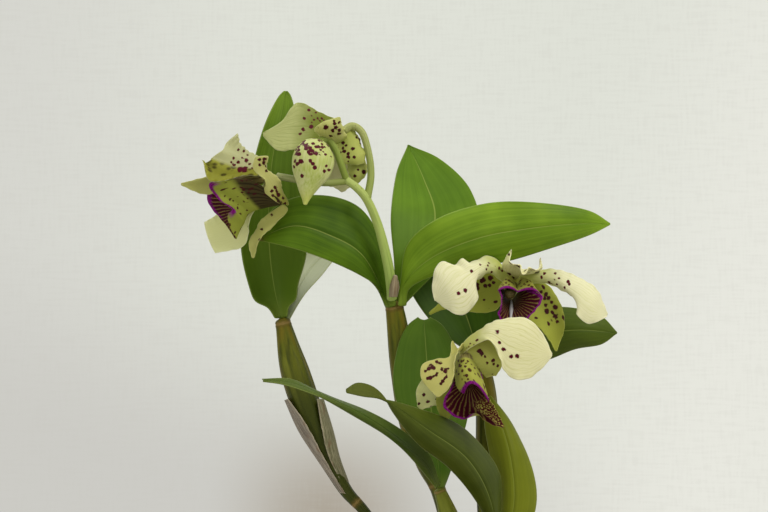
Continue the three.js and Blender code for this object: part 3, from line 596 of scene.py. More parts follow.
def petal_finish(name, foot, tip, back, density, size, reach, zone_foot=None,
                 fade=(0.1, 0.5), spot_tone=MAROON):
    """colour = foot to tip by the share along, faint veins, an olive zone, then the spots over it."""
    material = begin(name)
    grain, share = attribute("grain"), attribute("share")
    across, along, margin = (part_of(share, axis) for axis in "XYZ")
    sway = noise(scaled(grain, 0.25, 0.12, 0), 1.0, 2.0)
    vein = smooth(math("SINE", across * 40.0 + sway * 14.0), 0.55, 1.0)
    fine = noise(scaled(share, 34.0, 2.2, 0), 1.0, 3.0)
    cloud = noise(in_space(), 120.0, 3.0)
    colour = blend(foot, tip, smooth(along + cloud * 0.3 - 0.15, *fade))
    colour = blend(colour, foot, vein * 0.20 + smooth(fine, 0.45, 0.7) * 0.22)
    colour = blend(colour, foot, smooth(abs(across), 0.05, 0.0) * smooth(along, 1.0, 0.3) * 0.5)
    face = smooth(part_of(grain, "Z"), -0.6, 0.6)
    colour = blend(blend(colour, back, 0.75), colour, face)
    if zone_foot is not None:
        blurred = cells(scaled(grain, 0.36, 0.30, 0), 1.0) + (cloud - 0.5) * 0.5
        zoned = blend(paint(138, 138, 50), paint(58, 48, 22), smooth(blurred, 0.56, 0.24) * 0.85)
        above = smooth(part_of(in_space(), "Z"), zone_foot, zone_foot + 2 * MM)
        zone = smooth(across + cloud * 0.3, 0.10, 0.42) * above
        colour = blend(colour, zoned, zone)
    mark = spots(grain, along, density, size, reach)
    colour = blend(colour, spot_tone, mark)
    colour = blend(colour, tip, smooth(margin, 0.35, 0.05) * 0.5)
    height = vein * 0.15 + fine * 0.25 + noise(grain, 2.2, 3.0) * 0.6
    rough = 0.5 + cloud * 0.12 - mark * 0.05
    return dress(material, colour, rough, height, 0.06 * MM, **PETAL_GLOW, Specular_ior_level=0.06)


# %% [markdown]
# ## Lip finish
# The lip is a pouch: outside it is green with small spots, inside it is nearly black maroon with
# olive lines, and a violet margin a millimetre or two wide frames it. The lines fan out from the
# throat, so they are a sine of the angle about the throat. The margin reads the distance to the
# free edge that each blade carries, so it follows every wave, and `frame` gives the shares along
# between which it shows. Under the base, where the wall is thin, the outside is painted grey brown
# with fine ribs as shade, and one lobe may be yellow with grains.

# %% Lip finish
def fan_from(throat, lines):
    """sin(lines times angle), where the angle is seen from the front about the throat."""
    inputs = {0: in_space(), 1: tuple(map(float, throat))}
    away = Wire.node("VectorMath", {"operation": "SUBTRACT"}, inputs)
    wobble = noise(in_space(), 260.0, 2.0)
    angle = math("ARCTAN2", part_of(away, "X"), part_of(away, "Z"))
    return math("SINE", angle * lines + wobble * 4.5)


def lip_finish(name, outer, throat, band=1.5, frame=(0.2, 1.2), lobe=0.0, base_shade=0.0,
               hood=0.0, lines=34.0):
    """inside = maroon with the fan's olive lines; outside = green with spots; a violet band at the edge."""
    material = begin(name)
    grain, share = attribute("grain"), attribute("share")
    across, along, margin = (part_of(share, axis) for axis in "XYZ")
    grainy = noise(grain, 2.4, 3.0)
    fan = fan_from(throat, lines)
    line = smooth(fan, 0.30, 0.90) * smooth(noise(grain, 0.8), 0.30, 0.45)
    inside = blend(paint(66, 8, 28), blend(paint(98, 80, 40), paint(144, 124, 66), grainy), line)
    inside = blend(inside, paint(116, 104, 56), smooth(along, 0.16, 0.04) * 0.7)
    mark = spots(grain, along, 0.30 + hood * 0.40, 1.5 + hood * 1.0, 1.4)
    cloud = noise(in_space(), 150.0)
    outside = blend(outer, paint(124, 132, 52), cloud * 0.4)
    # painted shade: under its base the pouch's outside is darkened to grey brown with fine ribs
    ribbed = smooth(math("SINE", across * 60.0), 0.0, 1.0)
    shadow_brown = blend(paint(66, 58, 30), paint(44, 36, 18), ribbed)
    outside = blend(outside, shadow_brown, smooth(along + cloud * 0.05, 0.42, 0.34) * base_shade)
    outside = blend(outside, DARK_MAROON, mark * 0.95)
    face = smooth(part_of(grain, "Z"), -0.6, 0.6) * (1 - hood)
    grains = smooth(noise(grain, 1.15, 2.0) + across * 0.05, 0.45, 0.51)
    grained = blend(paint(176, 168, 82), MAROON, grains)
    yellow = smooth(across + grainy * 0.3, -0.15, 0.25) * smooth(along, 0.44, 0.60) * lobe
    colour = blend(outside, blend(inside, grained, yellow), face)
    start, end = frame
    edge = smooth(margin + grainy * 1.0 - 0.5, band, band * 0.5) * (1 - yellow) * (1 - hood)
    edge = edge * smooth(along, start - 0.04, start + 0.04) * smooth(along, end + 0.04, end - 0.04)
    tip_edge = smooth(along + grainy * 0.06 - 0.03, 0.87, 0.92) * hood
    rim = blend(VIOLET, paint(92, 12, 78), smooth(grainy, 0.4, 0.62))
    colour = blend(colour, rim, math("MAXIMUM", edge, tip_edge))
    height = fan * 0.3 * face + grainy * 0.6
    return dress(material, colour, 0.5, height, 0.12 * MM, **LIVING, Specular_ior_level=0.06)


# %% [markdown]
# ## Canes, stalks and dry skin
# A cane is a swollen stem whose skin is drawn tight over its fibres: dark and light green run
# down it in streaks, its flanks are yellow brown, and each joint wears a brown ring where a leaf
# once clasped it. Streaks come from a noise that is stretched about forty times along the stem.
# Its place round the stem is a circle in the `grain` attribute, so no seam shows.

# %% Stem finishes
def cane_finish(name, joints, young=0.0, shade=0.0):
    """green = streaks of dark and light along the stem, and a thin brown ring at each joint."""
    material = begin(name)
    grain, share = attribute("grain"), attribute("share")
    along = part_of(share, "Y")
    streak = noise(scaled(grain, 0.5, 0.5, 0.014), 1.0, 3.0)
    broad = noise(scaled(grain, 0.20, 0.20, 0.008), 1.0, 1.0)
    fine = noise(scaled(grain, 1.9, 1.9, 0.03), 1.0, 2.0)
    olive, dark, light = paint(100, 104, 20), paint(72, 78, 14), paint(128, 132, 44)
    green = blend(dark, olive, smooth(streak, 0.38, 0.58))
    green = blend(green, light, smooth(broad, 0.54, 0.66) * 0.6)
    green = blend(green, paint(122, 108, 22), smooth(broad, 0.46, 0.34) * 0.75)
    green = blend(green, paint(62, 72, 14), smooth(fine, 0.56, 0.70) * 0.25)
    green = blend(green, paint(140, 150, 50), young)
    green = blend(green, paint(46, 54, 10), smooth(along, 0.93, 0.76) * shade)
    ring = abs(along - joints[0])
    for joint in joints[1:]:
        ring = math("MINIMUM", ring, abs(along - joint))
    fray = noise(scaled(grain, 0.5, 0.5, 0.2), 1.0, 2.0) * 0.008
    green = blend(green, paint(112, 92, 40), smooth(ring + fray, 0.018, 0.007) * 0.6)
    green = blend(green, paint(160, 132, 78), smooth(ring + fray, 0.0085, 0.0055) * 0.5)
    speck = smooth(noise(grain, 2.4, 1.0), 0.72, 0.80)
    green = blend(green, paint(60, 44, 22), speck * 0.5)
    height = streak * 0.5 + fine * 0.5
    return dress(material, green, 0.42 + streak * 0.14, height, 0.2 * MM, Specular_ior_level=0.12)


def stalk_finish(name, foot, tip, freckles=0.0):
    """green = foot to tip along the stem with faint fibres, and freckles towards the tip."""
    material = begin(name)
    grain, share = attribute("grain"), attribute("share")
    along = part_of(share, "Y")
    fibre = noise(scaled(grain, 1.2, 1.2, 0.04), 1.0, 2.0)
    colour = blend(foot, tip, smooth(along, 0.1, 0.9))
    colour = blend(colour, paint(96, 120, 40), smooth(fibre, 0.45, 0.7) * 0.35)
    freckle = smooth(noise(grain, 1.1, 1.0), 0.68, 0.74) * smooth(along, 0.6, 0.9) * freckles
    colour = blend(colour, MAROON, freckle)
    rough = 0.42 + fibre * 0.1
    return dress(material, colour, rough, fibre, 0.04 * MM, **LIVING, Specular_ior_level=0.12)


def dry_skin_finish(name, pale, dark):
    """tan = pale to dark by fibres along the sheet, with brown stains and a paler edge."""
    material = begin(name)
    grain, share = attribute("grain"), attribute("share")
    fibre = noise(scaled(grain, 3.0, 0.10, 0), 1.0, 4.0, 0.7)
    stain = noise(scaled(grain, 0.3, 0.12, 0), 1.0, 2.0)
    colour = blend(pale, dark, smooth(fibre, 0.38, 0.62))
    colour = blend(colour, paint(112, 78, 48), smooth(stain, 0.55, 0.7) * 0.6)
    colour = blend(colour, paint(190, 178, 150), smooth(part_of(share, "Z"), 0.8, 0.1) * 0.5)
    return dress(material, colour, 0.7 + fibre * 0.15, fibre, 0.2 * MM)


def bud_finish():
    """Pale green in patches, yellower at the tip, with the listed maroon blotches and strewn ones."""
    material = begin("bud skin")
    grain, share = attribute("grain"), attribute("share")
    along = part_of(share, "Y")
    jitter = noise(grain, 0.8, 3.0) - 0.5
    listed = smooth(attribute("spot", 2) + jitter * 1.3, 1.3, 0.95)
    spread = scaled(grain, 0.44, 0.44, 0.36)
    lot = part_of(cells(spread, 1.0, output=1), "X") + smooth(along, 0.15, 0.45)
    strewn = smooth(cells(spread, 1.0) + jitter * 0.4, 0.46, 0.36) * smooth(lot, 0.62, 0.56)
    mark = math("MAXIMUM", listed, strewn)
    cloud = noise(in_space(), 90.0, 2.0)
    fibre = noise(scaled(grain, 1.2, 1.2, 0.05), 1.0, 2.0)
    patches = smooth(cloud * 0.6 + fibre * 0.4, 0.35, 0.65)
    colour = blend(paint(206, 208, 148), paint(176, 188, 98), patches)
    colour = blend(colour, paint(190, 194, 92), smooth(along, 0.7, 1.0) * 0.7)
    colour = blend(colour, paint(150, 164, 80), smooth(fibre, 0.58, 0.70) * 0.35)
    colour = blend(colour, MAROON, mark)
    return dress(material, colour, 0.45, fibre, 0.06 * MM, **LIVING, Specular_ior_level=0.12)


# %% [markdown]
# ## Clay, bark and roots
# None of these shows in the photograph. The pot is plain fired clay: orange brown, with pale salts
# that creep up from the base and faint rings from the wheel. Bark chips take one of many browns,
# by a number that each chip carries. Roots are silvery where they are dry and green at the tip.

# %% Pot, bark and root finishes
RING_PITCH = 2.6 * MM


def clay_finish():
    """clay = orange brown by clouds, then salts that thin out upwards, dark grit and turning rings."""
    material = begin("fired clay")
    space = in_space()
    height_up = part_of(space, "Z")
    cloud = noise(space, 22.0, 4.0, 0.6)
    rings = math("SINE", height_up * (2 * np.pi / RING_PITCH) + noise(space, 30.0) * 4.0)
    clay = blend(paint(168, 96, 64), paint(192, 120, 84), cloud)
    salts = smooth(noise(space, 46.0, 5.0, 0.65) - height_up * 3.4, 0.30, 0.52)
    clay = blend(clay, paint(206, 186, 164), salts * 0.75)
    clay = blend(clay, paint(120, 72, 50), smooth(noise(space, 400.0, 2.0), 0.60, 0.72) * 0.4)
    grit = noise(space, 900.0, 2.0)
    height = rings * 0.25 + grit * 0.6 + cloud * 0.3
    return dress(material, clay, 0.82 + salts * 0.1, height, 0.25 * MM)


def bark_finish():
    """brown = dark to light by the chip's own number, with dark plates and a little green."""
    material = begin("bark chips")
    space, share = in_space(), attribute("share")
    lot = part_of(share, "X")
    plates = noise(scaled(attribute("grain"), 0.25, 1.4, 1.4), 1.0, 4.0, 0.7)
    brown = blend(paint(70, 42, 26), paint(132, 86, 52), lot)
    brown = blend(brown, paint(44, 26, 18), smooth(plates, 0.52, 0.66))
    brown = blend(brown, paint(168, 124, 84), smooth(lot, 0.86, 0.95) * 0.6)
    brown = blend(brown, paint(96, 104, 60), smooth(noise(space, 60.0, 2.0), 0.60, 0.75) * 0.35)
    return dress(material, brown, 0.86, plates, 0.5 * MM)


def root_finish():
    """skin = silver to grey green by clouds, brown in places and greener at the tip."""
    material = begin("root skin")
    grain, share = attribute("grain"), attribute("share")
    cloud = noise(scaled(grain, 0.8, 0.8, 0.3), 1.0, 3.0)
    skin = blend(paint(176, 174, 150), paint(132, 138, 96), cloud)
    skin = blend(skin, paint(104, 82, 54), smooth(cloud, 0.60, 0.75) * 0.6)
    skin = blend(skin, paint(112, 140, 60), smooth(part_of(share, "Y"), 0.9, 1.0) * 0.5)
    return dress(material, skin, 0.75, cloud, 0.2 * MM)


# %% [markdown]
# ## The canes
# A dendrobium cane is thin at its foot, swells in its upper half and narrows again below its
# leaves. At each joint the skin steps in, and a ring of dry skin stands proud. JOINTS gives their
# places as shares of the length, and the relief adds five broad ridges and twelve fine ones
# between them, as on a cane that has carried its leaves for a year.

# %% Canes
CANES = {
    "cane_old": {
        "path": [[430, 690, 2], [428, 640, 2], [405, 570, 4], [365, 512, 8], [347, 492, 9],
                 [334, 470, 10], [320.5, 441, 11], [303.5, 398, 12], [291.5, 360, 13], [282, 318, 13]],
        "radii": [2.8, 3, 2.6, 2.2, 3.3, 6, 6.6, 3.4],
    },
    "cane_tall": {
        "path": [[450, 690, 4], [452, 640, 4], [450, 560, 6], [439, 492, 7], [425, 462, 7],
                 [412, 425, 7], [404, 375, 6], [398.5, 335, 4], [393.5, 301, 2]],
        "radii": [2.8, 3, 2.6, 2.8, 4.2, 5.6, 5.6, 4],
    },
    "cane_front": {
        "path": [[468, 690, -4], [467, 640, -5], [459, 570, -10], [449, 518, -14], [439, 488, -15]],
        "radii": [2.8, 3, 6.2, 5.8, 2.6],
    },
    "cane_right": {
        "path": [[485, 690, 6], [485, 640, 6], [484, 560, 7], [484, 490, 8], [487, 430, 9],
                 [485, 385, 10], [478, 353, 10]],
        "radii": [2.8, 3, 2.6, 2.6, 4.6, 4.9, 3.4],
    },
    "cane_young": {
        "path": [[505, 690, -2], [505, 640, -4], [506, 595, -8], [502, 548, -11]],
        "radii": [2.8, 3.4, 6, 3.4],
    },
}
# Joints of each cane as shares of its length, with the last one under its leaves
JOINTS = {
    "cane_old": [0.20, 0.33, 0.505, 0.987],
    "cane_tall": [0.22, 0.38, 0.52, 0.60, 0.985],
    "cane_front": [0.25, 0.50, 0.72, 0.985],
    "cane_right": [0.25, 0.42, 0.56, 0.985],
    "cane_young": [0.35, 0.65, 0.92],
}
# How pale a cane is beyond the rest, and how dark it is below its top
YOUTH = {"cane_young": 0.2, "cane_front": 0.45}
SHADES = {"cane_old": 0.8}


def cane_relief(joints):
    """Ridges cos(5 angle) that fade at the joints, a waist at each joint and a ring just above it."""
    def relief(u, angle):
        gap = np.min(np.abs(u[..., None] - np.array(joints)), axis=-1)
        ridges = 0.030 * np.cos(5 * angle + 2.5 * u) + 0.012 * np.cos(12 * angle + 1.2)
        waist = -0.03 * np.exp(-(gap / 0.010) ** 2)
        ring = 0.05 * np.exp(-((gap - 0.004) / 0.0035) ** 2)
        return ridges * eased(gap, 0.0, 0.03) + waist + ring
    return relief


for name, form in CANES.items():
    looks = YOUTH.get(name, 0.0), SHADES.get(name, 0.0)
    skin = cane_finish(name.replace("_", " ") + " skin", JOINTS[name], *looks)
    part = stem(**form, rows=250, sides=60, relief=cane_relief(JOINTS[name]))
    make_piece(name + "_ribbed", part, skin, [name])
print("canes:", len(CANES))

# %% [markdown]
# ## The leaves
# Each leaf is a blade with a folded rib. Its outline is three smooth lines, so a leaf that arches
# over, folds up or turns its underside to the front needs nothing more than the right depths.

# %% Leaf outlines
LEAVES = {
    "leaf_old_upright": outline(
        [[275, 318, 12], [268, 308, 11], [255, 301, 9], [249, 287, 8], [242, 250, 9], [247, 190, 13],
         [264, 128, 20], [279, 96, 27], [284, 91, 28]],
        [[281, 318, 14], [274, 286, 17], [269, 240, 20], [271, 170, 23], [286, 91, 29]],
        [[287, 317, 12], [289, 307, 11], [296, 299, 9], [298, 285, 8], [306, 250, 9], [301, 190, 14],
         [299, 140, 22], [293, 102, 27], [290, 94, 28], [287, 91, 28]]),
    "leaf_old_back": outline(
        [[278, 322, 15], [290, 290, 24], [300, 262, 42], [320, 243, 62], [346, 237, 88]],
        [[283, 323, 17], [298, 290, 28], [312, 267, 45], [330, 251, 65], [347, 238, 88]],
        [[288, 322, 14], [306, 292, 23], [326, 270, 38], [340, 254, 60], [348, 239, 88]]),
    "leaf_tall_left": outline(
        [[385, 306, 0], [377, 287, -8], [341, 266, -15], [295, 249, -18], [257, 240, -14]],
        [[390, 307, -2], [361, 254, -12], [331, 236, -15], [295, 226, -16], [257, 239, -14]],
        [[396, 305, -2], [389, 257, -3], [377, 230, -4], [358, 207, -7], [328, 196, -10],
         [292, 198, -13], [267, 215, -13], [257, 238, -13]]),
    "leaf_tall_upright": outline(
        [[395, 305, 7], [394, 262, 5], [391, 216, 12], [396, 175, 30], [408, 145, 48]],
        [[400, 306, 7], [426, 256, 9], [435, 216, 18], [424, 180, 34], [408, 145, 49]],
        [[404, 305, 3], [446, 262, 7], [478, 230, 15], [470, 189, 28], [440, 159, 40], [409, 145, 48]]),
    "leaf_tall_right": outline(
        [[398, 305, -3], [401, 280, -5], [408, 244, -6], [438, 218, -13], [485, 204, -18],
         [540, 203, -20], [590, 211, -14], [610, 223, -9]],
        [[402, 306, -2], [404, 285, -6], [430, 259, -13], [479, 238, -22], [526, 229, -23],
         [575, 224, -18], [610, 224, -9]],
        [[406, 305, 1], [409, 289, -4], [440, 274, -12], [509, 260, -17], [559, 246, -17],
         [592, 234, -13], [610, 225, -9]]),
    "leaf_front_narrow": outline(
        [[436, 489, -19], [429, 479, -24], [404, 451, -44], [354, 415, -69], [305, 391, -83],
         [281, 384, -83], [263, 382, -80]],
        [[437, 487, -18], [424, 463, -31], [380, 426, -58], [330, 399, -76], [290, 383, -80],
         [263, 380, -80]],
        [[440, 484, -15], [428, 453, -21], [404, 431, -33], [367, 412, -52], [317, 390, -71],
         [290, 379, -77], [262, 379, -79]]),
    "leaf_front_round": outline(
        [[436, 488, -12], [424, 462, -9], [402, 420, -5], [394, 380, -3], [399, 342, -2],
         [408, 325, -1], [418, 317, -1]],
        [[440, 488, -15], [437, 450, -14], [430, 400, -12], [426, 350, -8], [424, 320, -2]],
        [[444, 488, -12], [456, 455, -9], [467, 420, -6], [466, 380, -4], [452, 340, -2],
         [441, 324, -1], [430, 317, -1]]),
    "leaf_right_broad": outline(
        [[473, 354, 12], [452, 341, 14], [426, 314, 17], [407, 284, 22], [408, 260, 28],
         [425, 243, 34]],
        [[478, 353, 14], [467, 318, 21], [455, 290, 26], [441, 266, 31], [425, 242, 35]],
        [[482, 352, 12], [500, 326, 14], [504, 298, 18], [490, 270, 23], [460, 250, 29],
         [426, 243, 34]]),
    "leaf_right_low": outline(
        [[480, 346, 9], [500, 322, 6], [530, 311, 2], [565, 308, -1], [600, 315, -4], [617, 332, -4]],
        [[481, 350, 7], [508, 342, -1], [540, 334, -6], [580, 330, -9], [617, 333, -4]],
        [[482, 355, 8], [503, 365, 4], [535, 363, -1], [573, 350, -5], [602, 344, -5], [616, 334, -4]]),
    "leaf_young_arching": outline(
        [[495, 549, -13], [483, 512, -20], [449, 469, -44], [417, 442, -62], [393, 413, -76],
         [382, 395, -80], [371, 386, -82], [357, 383, -84], [346, 389, -88]],
        [[499, 549, -16], [490, 500, -26], [468, 460, -44], [425, 428, -66], [386, 401, -81],
         [366, 392, -87], [346, 391, -89]],
        [[503, 549, -14], [500, 510, -15], [500, 473, -20], [466, 431, -38], [415, 407, -63],
         [383, 399, -82], [365, 397, -89], [347, 393, -90]]),
    "leaf_young_upright": outline(
        [[500, 549, -7], [499, 512, -5], [497, 480, -3], [490, 452, -1], [484, 420, 1], [489, 397, 2]],
        [[504, 549, -10], [514, 500, -12], [510, 455, -9], [500, 420, -4], [490, 396, 2]],
        [[508, 549, -7], [530, 525, -6], [537, 500, -5], [529, 462, -3], [514, 426, 0], [491, 396, 2]]),
}
# Bright, dark and underside greens, as a screen shows them
GREENS = {
    "leaf_old_upright": ((122, 152, 46), (82, 108, 26), (96, 120, 50)),
    "leaf_old_back": ((179, 183, 152), (162, 168, 134), (177, 181, 150)),
    "leaf_tall_left": ((98, 130, 24), (48, 74, 8), (92, 108, 38)),
    "leaf_tall_upright": ((104, 138, 34), (78, 110, 20), (96, 120, 46)),
    "leaf_tall_right": ((136, 168, 44), (86, 118, 22), (104, 130, 48)),
    "leaf_front_narrow": ((92, 104, 46), (62, 84, 24), (92, 102, 52)),
    "leaf_front_round": ((94, 124, 38), (72, 104, 26), (84, 100, 48)),
    "leaf_right_broad": ((70, 100, 22), (44, 68, 10), (80, 100, 38)),
    "leaf_right_low": ((82, 98, 28), (56, 74, 18), (84, 98, 44)),
    "leaf_young_arching": ((82, 92, 28), (58, 70, 16), (84, 90, 30)),
    "leaf_young_upright": ((124, 132, 32), (104, 112, 22), (116, 120, 42)),
}
FOOT_SHADES = {"leaf_old_upright": 0.9, "leaf_tall_left": 0.3, "leaf_tall_upright": 0.2}
SPECKLED = ("leaf_tall_left", "leaf_front_narrow")
STAINED = ("leaf_tall_left",)

# %% [markdown]
# ### The leaf pieces
# A leaf waves a little unless its form says otherwise, and its rib is a crease in the upper face.
# Two of the leaves carry small dark specks, and one has begun to brown at its tip.

# %% Leaves
for name, form in LEAVES.items():
    greens = [paint(*green) for green in GREENS[name]]
    skin = leaf_finish(name.replace("_", " ") + " skin", *greens, FOOT_SHADES.get(name, 0.0),
                       specks=float(name in SPECKLED), stain=float(name in STAINED))
    part = blade({"wave": 0.5, "waves": 2, **form}, LEAF_THICKNESS, rows=96, columns=41, crease=0.35)
    make_piece(name + "_blade", part, skin, [name])
print("leaves:", len(LEAVES))

# %% [markdown]
# ## Dry sheaths and the bract
# The skin that once wrapped the old cane has split and dried to paper. Its blades ripple more
# than living ones and are the thinnest thing on the plant.

# %% Sheaths and bract
SHEATHS = {
    "sheath_old_left": outline(
        [[287, 400, 15], [303, 432, 15], [322, 463, 13], [343, 495, 11]],
        [[285, 400, 9], [299, 430, 8], [319, 461, 7], [341, 493, 7]],
        [[288, 399, 4], [306, 424, 3], [320, 450, 4], [338, 482, 6], [346, 494, 6]]),
    "sheath_old_right": outline(
        [[317, 399, 5], [322, 430, 4], [328, 455, 5], [340, 480, 7]],
        [[323, 399, 9], [332, 430, 8], [339, 458, 8], [348, 482, 9]],
        [[320, 399, 17], [330, 430, 16], [337, 458, 15], [347, 482, 13]]),
}
BRACT = outline(
    [[397, 297, -11], [399, 287, -11], [397, 276, -12]],
    [[393, 297, -14], [394, 287, -15], [395, 275, -13]],
    [[389, 297, -11], [390, 287, -12], [393, 276, -12]])
SHEATH_TONES = {
    "sheath_old_left": ((160, 150, 134), (112, 102, 90)),
    "sheath_old_right": ((146, 140, 108), (84, 84, 48)),
}
for name, form in SHEATHS.items():
    tones = [paint(*tone) for tone in SHEATH_TONES[name]]
    skin = dry_skin_finish(name.replace("_", " ") + " paper", *tones)
    part = blade({"ripple": 0.5, **form}, PETAL_THICKNESS, rows=90, columns=37)
    make_piece(name + "_paper", part, skin, [name])
bract_skin = dry_skin_finish("bract paper", paint(158, 146, 116), paint(120, 96, 66))
bract = blade({"ripple": 0.2, **BRACT}, rows=40, columns=25)
make_piece("bract_paper", bract, bract_skin, ["bract"])
print("sheaths:", len(SHEATHS))

# %% [markdown]
# ## Flower stems and the bud
# A spray is one main stem with a stalk for each bloom. The stalks are tubes that overlap where
# they fork, with a small swelling at each fork, as the fused solid has it. The bud hangs from its
# own stalk: a closed case of sepals, widest near its top and pointed below, with shallow seams.

# %% Flower stems and bud
FLOWER_STEMS = {
    "flower_stem_left": [
        {
            "path": [[392, 300, -5], [390, 276, -11], [386, 255, -13], [377, 222, -16], [366, 198, -18],
                     [356, 187, -19], [345, 179, -20]],
            "radii": [2.1, 2.3, 2.2, 2, 1.9, 1.7],
        },
        {
            "path": [[367, 200, -18], [371, 175, -15], [368, 150, -12], [361, 131, -10], [352, 126, -9],
                     [343, 131, -10]],
            "radii": [1.7, 1.6, 1.6, 1.8],
        },
        {
            "path": [[349, 181, -19], [325, 183, -22], [300, 180, -25], [276, 176, -27]],
            "radii": [1.5, 1.5, 1.6],
        },
        {
            "path": [[347, 181, -19], [341, 164, -22], [334, 147, -23], [327, 139, -24],
                     [319, 141, -28]],
            "radii": [1.6, 1.5, 1.5],
        },
    ],
    "flower_stem_right": [
        {
            "path": [[474, 354, 3], [478, 346, -3], [488, 338, -8], [500, 326, -13], [511, 308, -17],
                     [514, 289, -18]],
            "radii": [1.9, 2, 1.8, 1.6],
        },
        {
            "path": [[478, 347, -3], [472, 346, -16], [467, 350, -30], [465, 352, -38]],
            "radii": [1.6, 1.6],
        },
    ],
}
BUD = {
    "path": [[318, 139, -31], [315, 150, -31], [311, 170, -32], [307, 190, -33], [305, 205, -34]],
    "radii": [5, 9, 8.4, 4.4, 0.8],
    "spots": [(300.9, 139.9, 2.2), (303.5, 140.5, 1.8), (296.2, 144.6, 2), (298, 146, 1.8),
              (305.6, 145.2, 1.8), (306.2, 147.9, 2.2), (310.3, 147.9, 1.8), (312.3, 150.6, 2),
              (316, 146.8, 1.5), (319, 146.5, 1.6), (322.5, 147, 1.5), (325, 146.5, 1.2),
              (316.3, 153.3, 2), (310.3, 154.3, 1.9), (296.2, 153.3, 2), (298.9, 153.9, 2),
              (291.8, 153.9, 1.5), (294.2, 160.6, 1.8), (296.9, 164, 1.9), (301.2, 161.3, 2.4),
              (293.5, 166.9, 1.5), (310.3, 161, 1.8), (312.9, 164, 1.9), (314.9, 167.3, 2),
              (302, 175.8, 1.8), (325.7, 154.3, 1.4), (323.5, 151.5, 1.1), (326.3, 166, 1.4),
              (324.3, 171.3, 1.6), (329, 170, 1.5), (317.6, 136.5, 1.8), (319.6, 138.5, 1.8),
              (322, 140, 1.5), (298.5, 149.8, 1.8), (294, 149, 1.5), (303, 143, 1.6)],
}
STALK_GREENS = [((160, 182, 94), (176, 190, 106)), ((142, 154, 78), (170, 174, 108)),
                ((142, 152, 80), (168, 172, 118)), ((136, 152, 66), (146, 160, 76))]


def stalk_relief(u, angle):
    """A swelling at the foot and five faint ribs."""
    return 0.02 * np.cos(5 * angle) + 0.08 * np.exp(-(u / 0.05) ** 2)


for name, stalks in FLOWER_STEMS.items():
    for number, form in enumerate(stalks):
        foot, tip = (paint(*green) for green in STALK_GREENS[number])
        skin = stalk_finish(f"{name} skin {number}".replace("_", " "), foot, tip, freckles=0.5)
        part = stem(**form, rows=90, sides=28, relief=stalk_relief)
        make_piece(f"{name}_stalk_{number + 1}", part, skin, [name])


def bud_relief(u, angle):
    """Three seams that fade towards the stalk."""
    seam = np.exp(-(np.angle(np.exp(1j * 3 * (angle - 0.5))) / 0.35) ** 2)
    return -0.05 * seam * eased(u, 0.1, 0.5) + 0.02 * np.cos(3 * angle)


bud = stem(**BUD, rows=130, sides=90, relief=bud_relief)
make_piece("bud_case", bud, bud_finish(), ["bud"])
print("stalks:", sum(map(len, FLOWER_STEMS.values())))
